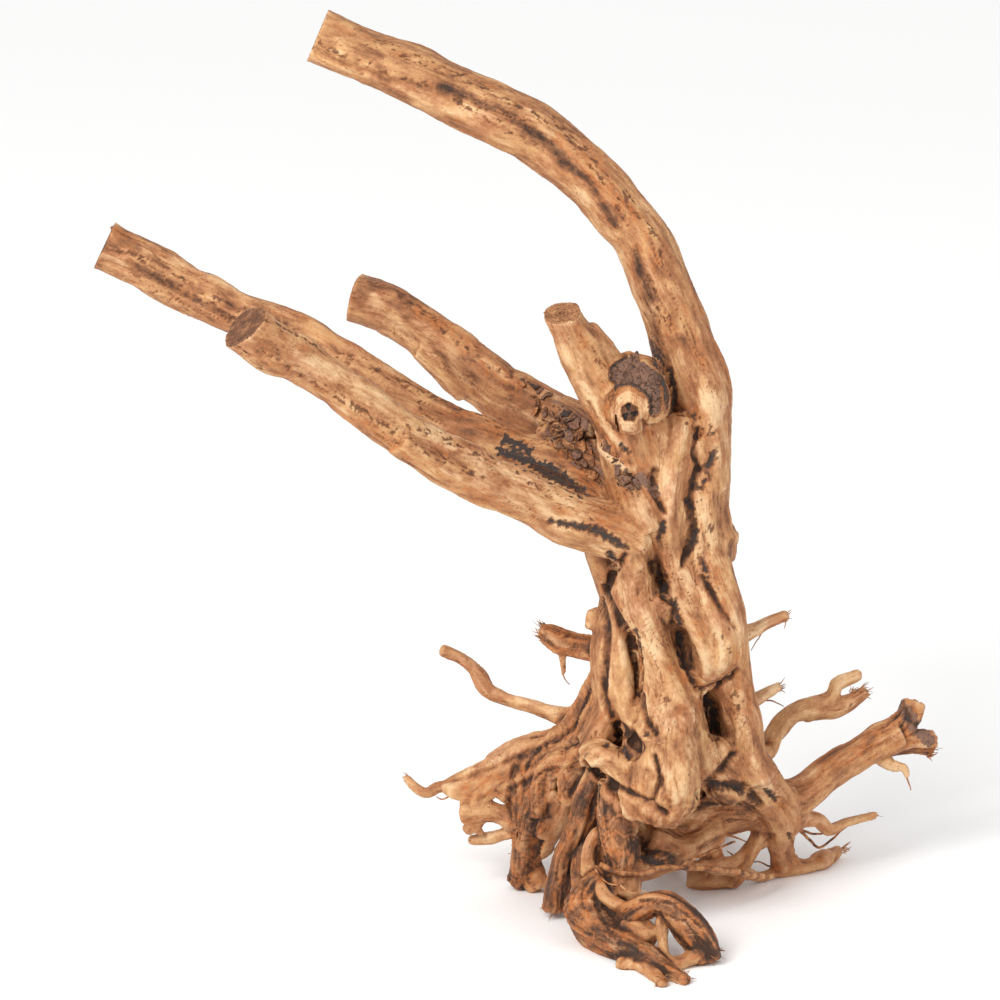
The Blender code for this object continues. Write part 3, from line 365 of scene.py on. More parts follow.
# Thin roots, each started well inside the wood that it grows from.
THIN_ROOTS = [
    strand([(-30, 134, 4, 4), (-47.5, 134.5, 17, 4), (-55, 136, 24, 3.8), (-65, 139, 31, 3.5),
            (-77.5, 142.5, 38, 3.3), (-84, 145.5, 41, 3.1), (-87.5, 149, 42, 3.1),
            (-90.5, 154, 44, 3.1), (-95, 159, 47, 3), (-101, 163.5, 49, 2.8),
            (-109.5, 167, 50, 2.4)]),
    strand([(-47, 172, 10, 2.2), (-48.5, 166, 10, 1.7), (-48, 153.5, 10, 0.8)]),
    strand([(-56, 119, 9, 4), (-70, 115, 16, 4), (-80, 110, 21, 3.6), (-90, 106.5, 27, 3.5),
            (-100, 102.5, 33, 3.1), (-106.5, 99, 37, 2.6), (-111.5, 97.5, 39, 2.3),
            (-116, 95, 41, 2.1), (-121, 96.5, 43, 1.9), (-127.5, 103, 46, 1.3)]),
    strand([(-64, 112, 14, 3), (-82.5, 103.5, 22, 2.8), (-90, 100, 25, 3), (-97.5, 97.5, 28, 2.5),
            (-108, 96.5, 32, 1)]),
    strand([(-60, 120, 13, 2.6), (-70, 117, 18, 2.3), (-77.5, 108.5, 20, 2.3),
            (-83.5, 100.5, 21, 2.4), (-88.5, 93.5, 22, 2.6), (-90, 88, 22.5, 2.6)]),
    strand([(-60, 118, 13, 2.6), (-72, 114, 20, 2.4), (-74, 106, 21, 2.2), (-72, 98, 20, 2.2),
            (-67, 90, 17, 2.2)]),
    strand([(-52, 124, 11, 2.8), (-66, 120.5, 18, 2.4), (-75, 118, 24, 2.3),
            (-84, 112, 30, 1.8)]),
    strand([(-62, 78, 16, 2.8), (-70, 77, 21, 2.6), (-77.5, 75, 24, 2.3), (-85, 72, 27, 2),
            (-95, 71, 30, 1.4)]),
    strand([(-84, 99, 21, 2.3), (-91, 94, 24, 2.2), (-97.5, 94, 27, 1.8), (-104, 95, 29, 1.3)]),
    strand([(-91, 87, 23, 2), (-92, 79, 23, 1.2), (-87, 73, 22, 0.9)]),
    strand([(-89, 86, 22.5, 2.4), (-93, 79, 24, 2.2), (-97, 75.5, 25, 1.9)]),
    strand([(-26, 77, -30, 3), (-33, 73, -34, 2.7), (-36, 67, -36, 2.7), (-36.5, 59, -38, 2.7),
            (-33, 53.5, -40, 2.7), (-28, 53, -42, 2.7), (-22, 57.5, -43, 2.6),
            (-18, 63, -40, 2.6)]),
    strand([(0, 9, -90, 3.4), (10, 11, -89, 3.3), (19, 16.5, -83, 3.4)]),
    strand([(1, 40, -70, 1.9), (1.5, 25, -75, 1.4), (2.5, 10, -89, 1.8)]),
    strand([(-30, 56, -40, 2.4), (-29, 46, -57, 2.3), (-20, 39.5, -61, 2.3),
            (-12, 36, -65, 2.3)]),
    strand([(30, 170, 4, 3.2), (44, 175.5, 10, 2.8), (54, 180.5, 14, 2.4), (64, 184.5, 17, 1.8)]),
    strand([(36, 140, 8, 3.2), (48, 142, 14, 2.8), (55, 146, 17, 2.4), (61, 149, 20, 1.7)]),
    strand([(74, 136.5, 45.5, 3.6), (86.5, 143.5, 52, 3.1), (90.5, 150, 54, 2.8),
            (101, 154.5, 57, 2.1)]),
    strand([(108, 116, 49, 1.9), (117.5, 108.5, 46, 1.4), (123.5, 107.5, 46, 1.3),
            (125.5, 102.5, 46, 1)]),
    strand([(61, 82, 22, 4.6), (70, 82.5, 28, 4), (80, 81.5, 34, 3), (86.5, 76.5, 38, 2.6),
            (95, 80, 44, 2.1), (102.5, 82, 50, 1.7), (110, 83.5, 56, 1.2)]),
    strand([(81, 60, 58, 3), (88, 63.5, 68, 2.7), (90.5, 65.5, 74, 2)]),
    strand([(60, 75, 34, 2.4), (52.5, 71.5, 28, 1.8), (45, 66.5, 24, 1.7), (37.5, 61.5, 20, 1.6),
            (29, 58, 15, 1.7)]),
    strand([(63, 60, 50, 3), (58, 55, 45, 2.3), (50, 52.5, 36, 2.2), (40, 56, 26, 2.1),
            (30, 57.5, 16, 2), (20, 59.5, 6, 2), (10, 59.5, -6, 1.9), (2.5, 59, -18, 1.9),
            (-10, 54, -30, 1.8), (-17, 55, -38, 1.8)]),
    strand([(54, 84, 20, 3.4), (47.5, 68.5, 22, 2.9), (42.5, 57.5, 24, 2.9), (36, 50, 27, 2.8)]),
    strand([(-43, 97, 0, 2), (-47, 86, 2, 1.8), (-53, 75, 12, 1.6), (-59, 66, 20, 1.5),
            (-66, 58, 27, 1.6)]),
    strand([(-12, 66, 46, 3.4), (-26, 92, 34, 2.8), (-30, 112, 22, 2.2), (-26, 126, 12, 1.6)],
           how=placed),
    strand([(30, 60, 48, 3.4), (50, 78, 38, 2.8), (58, 90, 22, 2.3), (66, 98, 14, 1.6)],
           how=placed),
    strand([(-33, 58, 34, 3.4), (-38, 80, 22, 2.4), (-36, 98, 8, 1.8)], how=placed),
    strand([(6, 20, 112, 4), (10, 48, 118, 3), (14, 66, 128, 2.4), (12, 76, 140, 1.6)],
           how=placed),
]

# Hollows between the cords: (across, up, back) of the mouth, half sizes across, along and
# deep, and how far the long axis leans to the left at its top.
HOLLOWS = [
    ((-0.5, 204, -26), (4.0, 10.5, 13), 0.55),
    ((12.5, 168.5, -22), (4.2, 11.5, 17), 0.28),
    ((27.5, 134.5, -16), (5.6, 13.5, 20), 0.20),
    ((-12.3, 165, -25), (2.8, 13.5, 12), 0.18),
    ((-14, 119, -38), (5.0, 8.0, 8), 0.0),
    ((-25, 212, -22), (5.0, 4.0, 8), 0.0),
    ((6, 305, -16), (4.0, 16, 9), 0.35),
]


# How finely the thick wood and the thin roots are drawn.
SIDES = 36
THICK_STEP = 3.0
THIN_STEP = 2.0
LUMP_SIZE = 26.0
LUMP_DEPTH = 0.10
# Fusing and smoothing take this much off all round.
FUSE_LOSS = 0.35
THIN_SPARE = 0.25

SAW_SPARE = 14.0
SAW_BLOCK = 60.0
FLOOR_BLOCK = 700.0

COARSE_VOXEL = 1.5
FINE_VOXEL = 0.95


def spline_point(before: Vector, start: Vector, end: Vector, after: Vector, t: float) -> Vector:
    """Catmull-Rom point between start and end.

    Args:
        before: The point before start.
        start: Where t is 0.
        end: Where t is 1.
        after: The point after end.
        t: How far along, 0 to 1.

    Returns:
        The point.
    """
    return 0.5 * ((2.0 * start) + (end - before) * t
                  + (2.0 * before - 5.0 * start + 4.0 * end - after) * t * t
                  + (3.0 * start - before - 3.0 * end + after) * t ** 3)


def smooth_route(stations: list[Station], step: float) -> list[Station]:
    """Stations a step apart along a smooth curve through the given ones.

    Args:
        stations: The strand's own stations.
        step: About how far apart the new ones are.

    Returns:
        The new stations.
    """
    places = [place for place, _ in stations]
    halves = [half for _, half in stations]
    last = len(stations) - 1
    route = []
    for i in range(last):
        ends = [max(i - 1, 0), i, i + 1, min(i + 2, last)]
        count = max(1, round((places[i + 1] - places[i]).length / step))
        for k in range(count):
            t = k / count
            middle = spline_point(*[places[j] for j in ends], t)
            route.append((middle, halves[i] + (halves[i + 1] - halves[i]) * t))
    route.append((places[last], halves[last]))
    return route


def dome(distance: float, half: float) -> float:
    """How much of its thickness a domed strand has, this far from its end.

    Args:
        distance: Millimetres to the nearer end.
        half: Half the thickness.

    Returns:
        A share, 0.15 to 1.
    """
    if distance >= half:
        return 1.0
    return math.sqrt(1.0 - (1.0 - distance / half) ** 2) * 0.85 + 0.15


def tube_faces(rings: int, sides: int) -> Faces:
    """Faces of a closed tube.

    Args:
        rings: How many rings of corners it has.
        sides: How many corners a ring has.

    Returns:
        The two ends and the faces between them.
    """
    faces = [tuple(reversed(range(sides)))]
    for i, k in itertools.product(range(rings - 1), range(sides)):
        n = (k + 1) % sides
        faces.append((i * sides + k, i * sides + n, (i + 1) * sides + n, (i + 1) * sides + k))
    faces.append(tuple(range((rings - 1) * sides, rings * sides)))
    return faces


class Route:
    """A strand worked out: the line down its middle, its frames and its radius all round."""

    def __init__(self, piece: Strand, step: float, spare: float) -> None:
        """Work the strand out.

        Args:
            piece: The strand.
            step: Millimetres between rings.
            spare: Millimetres added to the radius.
        """
        self.skin = piece.skin
        self.grain_turn = piece.twist / piece.ridges
        stations = smooth_route(piece.stations, step)
        middles = [middle for middle, _ in stations]
        frames = self.frames_along(middles)
        travelled = [0.0]
        for here, there in zip(middles, middles[1:]):
            travelled.append(travelled[-1] + (there - here).length)
        length = travelled[-1]
        radii = []
        for (middle, half), (_, side, upper), gone in zip(stations, frames, travelled):
            if piece.domed:
                half *= dome(min(gone, length - gone), half)
            ring = []
            for k in range(SIDES):
                angle = 2.0 * math.pi * k / SIDES
                outward = side * math.cos(angle) + upper * math.sin(angle)
                wave = math.cos(piece.ridges * angle + piece.turn + piece.twist * gone)
                lump = noise.noise((middle + outward * half) / LUMP_SIZE)
                ring.append(half * (1.0 + piece.ridge_depth * wave + LUMP_DEPTH * lump) + spare)
            radii.append(ring)
        self.centre = np.array(middles, float)
        self.tangent, self.side, self.upper = (np.array([frame[i] for frame in frames], float)
                                               for i in range(3))
        self.travelled = np.array(travelled, float)
        self.radii = np.array(radii, float)

    @staticmethod
    def frames_along(middles: list[Vector]) -> list[tuple[Vector, Vector, Vector]]:
        """Tangent, side and upper direction at each point, carried along without twisting.

        Args:
            middles: Points down the middle.

        Returns:
            Three directions a point.
        """
        last = len(middles) - 1
        tangents = [(middles[min(i + 1, last)] - middles[max(i - 1, 0)]).normalized()
                    for i in range(last + 1)]
        side = tangents[0].orthogonal().normalized()
        frames = []
        for i, tangent in enumerate(tangents):
            if i:
                side = tangents[i - 1].rotation_difference(tangent) @ side
            side = (side - tangent * side.dot(tangent)).normalized()
            frames.append((tangent, side, tangent.cross(side)))
        return frames

    def tube(self) -> tuple[Points, Faces]:
        """The strand as one closed tube.

        Returns:
            Corner places and faces.
        """
        angles = np.arange(SIDES) * (2.0 * math.pi / SIDES)
        outward = (self.side[:, None] * np.cos(angles)[None, :, None]
                   + self.upper[:, None] * np.sin(angles)[None, :, None])
        rings = self.centre[:, None] + outward * self.radii[:, :, None]
        return rings.reshape(-1, 3), tube_faces(len(self.centre), SIDES)

    def measure(self, places: Points) -> tuple[Points, Points]:
        """How far outside the strand each place is, and where that is along and in it.

        Args:
            places: Points near the strand.

        Returns:
            Distances, and for each point its way along, to the side and upwards.
        """
        middle = self.centre
        apart = ((places ** 2).sum(1)[:, None] - 2.0 * places @ middle.T
                 + (middle ** 2).sum(1)[None])
        near = apart.argmin(1)
        last = len(middle) - 1
        along = ((places - middle[near]) * self.tangent[near]).sum(1)
        beside = np.clip(near + np.sign(along).astype(int), 0, last)
        gap = np.abs(self.travelled[beside] - self.travelled[near])
        share = np.clip(np.abs(along) / np.maximum(gap, 1e-6), 0.0, 1.0)
        share[beside == near] = 0.0
        blend = share[:, None]

        def between(values: Points) -> Points:
            """Values between the two nearest rings."""
            return values[near] * (1.0 - blend) + values[beside] * blend

        offset = places - between(middle)
        side = (offset * between(self.side)).sum(1)
        upper = (offset * between(self.upper)).sum(1)
        gone = self.travelled[near] * (1.0 - share) + self.travelled[beside] * share
        past = np.where(beside == near, np.abs(along), 0.0)
        gone = gone + np.where(near == 0, -past, past)
        turn = (np.arctan2(upper, side) / (2.0 * math.pi) * SIDES) % SIDES
        lower = turn.astype(int) % SIDES
        part = turn - np.floor(turn)
        higher = (lower + 1) % SIDES
        here = self.radii[near, lower] * (1.0 - part) + self.radii[near, higher] * part
        there = self.radii[beside, lower] * (1.0 - part) + self.radii[beside, higher] * part
        radius = here * (1.0 - share) + there * share
        distance = np.hypot(side, upper) - radius
        distance = np.where(past > 0.0, np.hypot(np.maximum(distance, 0.0), past), distance)
        turned = self.grain_turn * gone
        cos, sin = np.cos(turned), np.sin(turned)
        return distance, np.stack([gone, side * cos - upper * sin, side * sin + upper * cos], 1)


GRADIENTS = np.array([(1, 1, 0), (-1, 1, 0), (1, -1, 0), (-1, -1, 0), (1, 0, 1), (-1, 0, 1),
                      (1, 0, -1), (-1, 0, -1), (0, 1, 1), (0, -1, 1), (0, 1, -1), (0, -1, -1),
                      (1, 1, 0), (-1, 1, 0), (0, -1, 1), (0, -1, -1)], np.float32)


def scramble(cell: Points, seed: int) -> Points:
    """A whole number that looks random for each whole-number cell.

    Args:
        cell: Three whole numbers a point.
        seed: Another whole number gives another pattern.

    Returns:
        Unsigned whole numbers.
    """
    mixed = (cell[..., 0] * 73856093) ^ (cell[..., 1] * 19349663) ^ (cell[..., 2] * 83492791)
    mixed = (mixed ^ (seed * 2654435761)).astype(np.uint64).astype(np.uint32)
    mixed = (mixed ^ (mixed >> np.uint32(15))) * np.uint32(2246822519)
    mixed = (mixed ^ (mixed >> np.uint32(13))) * np.uint32(3266489917)
    return mixed ^ (mixed >> np.uint32(16))


def waves(places: Points, seed: int) -> Points:
    """Smooth noise of about -1 to 1, whose lumps are about one unit across.

    Args:
        places: Points, three numbers each.
        seed: Another whole number gives another pattern.

    Returns:
        One number a point.
    """
    cell = np.floor(places).astype(np.int64)
    part = (places - cell).astype(np.float32)
    ease = part ** 3 * (part * (part * 6.0 - 15.0) + 10.0)
    total = np.zeros(len(places), np.float32)
    for corner in itertools.product((0, 1), repeat=3):
        step = np.array(corner)
        slope = GRADIENTS[scramble(cell + step, seed) & np.uint32(15)]
        weight = np.where(step, ease, 1.0 - ease).prod(1)
        total += weight * (slope * (part - step)).sum(1)
    return total * 1.5


def rough(places: Points, seed: int, octaves: int = 3) -> Points:
    """Noise with finer noise on it.

    Args:
        places: Points, three numbers each.
        seed: Another whole number gives another pattern.
        octaves: How many sizes of noise are added up.

    Returns:
        One number a point, about -1 to 1.
    """
    total = np.zeros(len(places), np.float32)
    size = 1.0
    for octave in range(octaves):
        total += size * waves(places * 2.03 ** octave, seed + 31 * octave)
        size *= 0.5
    return total / 1.6


def grains(places: Points, seed: int) -> tuple[Points, Points, Points]:
    """Cells round scattered points.

    Args:
        places: Points, three numbers each.
        seed: Another whole number gives another pattern.

    Returns:
        Distance to the nearest scattered point, to the second nearest, and a number of 0 to 1
        that belongs to the nearest.
    """
    cell = np.floor(places).astype(np.int64)
    first = np.full(len(places), 9.0, np.float32)
    second = first.copy()
    number = np.zeros(len(places), np.float32)
    for corner in itertools.product((-1, 0, 1), repeat=3):
        there = cell + np.array(corner)
        mixed = scramble(there, seed)
        spot = np.stack([(mixed & np.uint32(1023)), (mixed >> np.uint32(10)) & np.uint32(1023),
                         (mixed >> np.uint32(20)) & np.uint32(1023)], 1) / 1023.0
        apart = np.sqrt(((there + spot - places) ** 2).sum(1)).astype(np.float32)
        closer = apart < first
        second = np.where(closer, first, np.minimum(second, apart))
        number = np.where(closer, (scramble(there, seed + 7) & np.uint32(4095)) / 4095.0, number)
        first = np.where(closer, apart, first)
    return first, second, number


def smoothstep(low: float, high: float, values: Points) -> Points:
    """A soft step from 0 at low to 1 at high.

    Args:
        low: Where the step starts.
        high: Where it ends; it may be the lower of the two.
        values: Numbers.

    Returns:
        Numbers of 0 to 1.
    """
    share = np.clip((values - low) / (high - low), 0.0, 1.0)
    return share * share * (3.0 - 2.0 * share)


@dataclass(frozen=True)
class MarkLook:
    """What a mark does to the surface: its depth in millimetres, and its shares of colour, whose
    tone and dark paint highlight and shade on some kinds.
    """

    depth: float = 0.0
    tone: float = 0.0
    dark: float = 0.0
    rust: float = 0.0
    soot_and_shade: float = 0.0
    bark: float = 0.0
    pale: float = 0.0
    soft: float = 0.6
    ragged: float = 0.5
    broken: bool = False
    rounded: bool = False


class Mark(Enum):
    """The kinds of mark on the front of the wood."""

    # Swells and ridges get a painted highlight in their tone; valleys, grooves and SHADE get
    # painted shade.
    SWELL = MarkLook(depth=2.1, tone=0.05, rounded=True)
    VALLEY = MarkLook(depth=-2.7, tone=-0.20, rounded=True)
    # Scars are dark with painted shade inside them, partly dark wood; pits and cracks likewise.
    SCAR = MarkLook(depth=-1.5, dark=0.85, rust=0.6, soft=1.5, ragged=1.2)
    PITTED = MarkLook(depth=-0.6, dark=0.5, rust=0.6, soft=1.2, ragged=0.9, broken=True)
    RUST = MarkLook(depth=-0.15, rust=0.9, soft=1.8, ragged=1.4)
    # Black of soot, with painted shade where it lies in crevices.
    SOOT = MarkLook(depth=-0.3, soot_and_shade=0.85, soft=2.2, ragged=2.6)
    SHADE = MarkLook(tone=-0.36, soft=2.6, ragged=0.8)
    BARK = MarkLook(depth=0.4, bark=0.9, soft=1.2, ragged=1.5)
    PALE = MarkLook(depth=0.1, tone=0.10, pale=0.55, soft=2.8, ragged=1.6)
    CREAM = MarkLook(depth=0.1, tone=0.16, pale=0.95, soft=1.0, ragged=0.8)
    CRACK = MarkLook(depth=-1.2, dark=0.55, soft=0.7, ragged=0.6)
    GROOVE = MarkLook(depth=-1.3, tone=-0.08, soft=2.4, ragged=0.7)
    RIDGE = MarkLook(depth=1.2, tone=0.08, soft=1.6, ragged=0.3)


@dataclass(frozen=True)
class Stroke:
    """A mark along a line: across, up the view and half width at each point, millimetres."""

    kind: Mark
    path: tuple[tuple[float, float, float], ...]


class Surface:
    """The wood's mesh as arrays, with what its relief and colour are worked out from."""

    def __init__(self, mesh: bpy.types.Mesh) -> None:
        """Read the mesh.

        Args:
            mesh: A mesh in metres, in the strands' own place.
        """
        count = len(mesh.vertices)
        self.places = np.empty(count * 3, np.float32)
        mesh.vertices.foreach_get("co", self.places)
        self.places = self.places.reshape(-1, 3).astype(float) / MM
        edges = np.empty(len(mesh.edges) * 2, np.int32)
        mesh.edges.foreach_get("vertices", edges)
        self.edges = edges.reshape(-1, 2)
        corners = np.empty(len(mesh.polygons) * 4, np.int32)
        mesh.polygons.foreach_get("vertices", corners)
        self.quads = corners.reshape(-1, 4)
        self.links = np.bincount(self.edges.ravel(), minlength=count)[:, None]
        self.form = {name: np.zeros(count, np.float32) for name in
                     ("tone", "rust", "soot_and_shade", "bark", "dark", "pale", "cut", "gloss")}

    def normals(self) -> Points:
        """The way that the surface faces.

        Returns:
            A direction at each point.
        """
        a, b, c, d = (self.places[self.quads[:, i]] for i in range(4))
        facing = np.cross(c - a, d - b)
        total = np.zeros_like(self.places)
        for i in range(4):
            for axis in range(3):
                total[:, axis] += np.bincount(self.quads[:, i], facing[:, axis], len(total))
        return total / np.maximum(np.linalg.norm(total, axis=1), 1e-9)[:, None]

    def averaged(self, values: Points, rounds: int) -> Points:
        """Values averaged over their neighbours.

        Args:
            values: One or three numbers a point.
            rounds: How many times over.

        Returns:
            The averaged values.
        """
        flat = values.reshape(len(values), -1).astype(float)
        start, end = self.edges[:, 0], self.edges[:, 1]
        both = np.concatenate([start, end])
        for _ in range(rounds):
            total = np.empty_like(flat)
            for axis in range(flat.shape[1]):
                column = flat[:, axis]
                sent = np.concatenate([column[end], column[start]])
                total[:, axis] = np.bincount(both, sent, len(flat))
            flat = 0.5 * flat + 0.5 * total / self.links
        return flat.reshape(values.shape)

    def push(self, amount: Points) -> None:
        """Move each point outwards.

        Args:
            amount: Millimetres, one number a point.
        """
        self.places += self.normals() * amount[:, None]


class Flow:
    """Which two strands each point of the surface belongs to, and where it is in them."""

    MERGE = 2.2

    def __init__(self, places: Points, routes: list[Route],
                 softness: Points | None = None) -> None:
        """Find the two nearest strands of each point.

        Args:
            places: Points on the surface.
            routes: All the strands.
            softness: How softly strands fuse at each point, to have `outside` worked out.
        """
        count = len(places)
        self.softness = softness
        self.crowd = np.zeros(count)
        self.distance = np.full((2, count), 1e3)
        self.owner = np.zeros((2, count), int)
        self.way = np.zeros((2, count, 3))
        for number, route in enumerate(routes):
            reach = route.radii.max() + 6.0
            inside = ((places > route.centre.min(0) - reach)
                      & (places < route.centre.max(0) + reach)).all(1)
            index = np.nonzero(inside)[0]
            for part in np.array_split(index, max(1, len(index) // 20000)):
                if len(part):
                    distance, way = route.measure(places[part])
                    self.take(part, number, distance, way)
                    if softness is not None:
                        self.crowd[part] += np.exp(-distance / softness[part])
        swapped = self.owner[0] > self.owner[1]
        for values in (self.distance, self.owner, self.way):
            values[:, swapped] = values[::-1, swapped]
        lead = self.distance[0] - self.distance[1]
        self.mix = smoothstep(-self.MERGE, self.MERGE, lead)

    def outside(self) -> Points:
        """How far each point is outside the softly fused strands, millimetres."""
        return -self.softness * np.log(np.maximum(self.crowd, 1e-9))

    def take(self, index: Points, number: int, distance: Points, way: Points) -> None:
        """Keep a strand where it is among the two nearest.

        Args:
            index: Which points were measured.
            number: The strand's number.
            distance: How far outside the strand each is.
            way: Where each is along and in the strand.
        """
        first = distance < self.distance[0, index]
        second = ~first & (distance < self.distance[1, index])
        won = index[first]
        self.distance[1, won] = self.distance[0, won]
        self.owner[1, won] = self.owner[0, won]
        self.way[1, won] = self.way[0, won]
        self.distance[0, won] = distance[first]
        self.owner[0, won] = number
        self.way[0, won] = way[first]
        runner = index[second]
        self.distance[1, runner] = distance[second]
        self.owner[1, runner] = number
        self.way[1, runner] = way[second]

    def blended(self, worked: Iterable[Points]) -> Points:
        """Values of the two strands, blended where they meet.

        Args:
            worked: The values for the first and for the second strand.

        Returns:
            The blend.
        """
        first, second = worked
        return first * (1.0 - self.mix) + second * self.mix

    def relief(self, name: str, routes: list[Route]) -> Points:
        """One number of the strands' skins at each point.

        Args:
            name: A field of Relief.
            routes: All the strands.

        Returns:
            One number a point.
        """
        table = np.array([getattr(route.skin.value, name) for route in routes])
        return self.blended(table[self.owner[i]] for i in range(2))

    def pattern(self, make: Callable[..., Points], along: float, across: float, seed: int,
                **more: int) -> Points:
        """Noise that runs with the strands, blended where two meet.

        Args:
            make: The noise, `waves` or `rough`.
            along: Size of its lumps along a strand, millimetres.
            across: Size of its lumps across it.
            seed: Another whole number gives another pattern.
            more: What else the noise takes.

        Returns:
            One number a point.
        """
        size = np.array([along, across, across])
        return self.blended(
            make(self.way[i] / size + self.owner[i][:, None] * (7.31, 3.17, 5.71), seed, **more)
            for i in range(2))


def strokes(kind: Mark, *paths: tuple[tuple[float, float, float], ...]) -> list[Stroke]:
    """Strokes of one mark, in the order of their paths."""
    return [Stroke(kind, path) for path in paths]


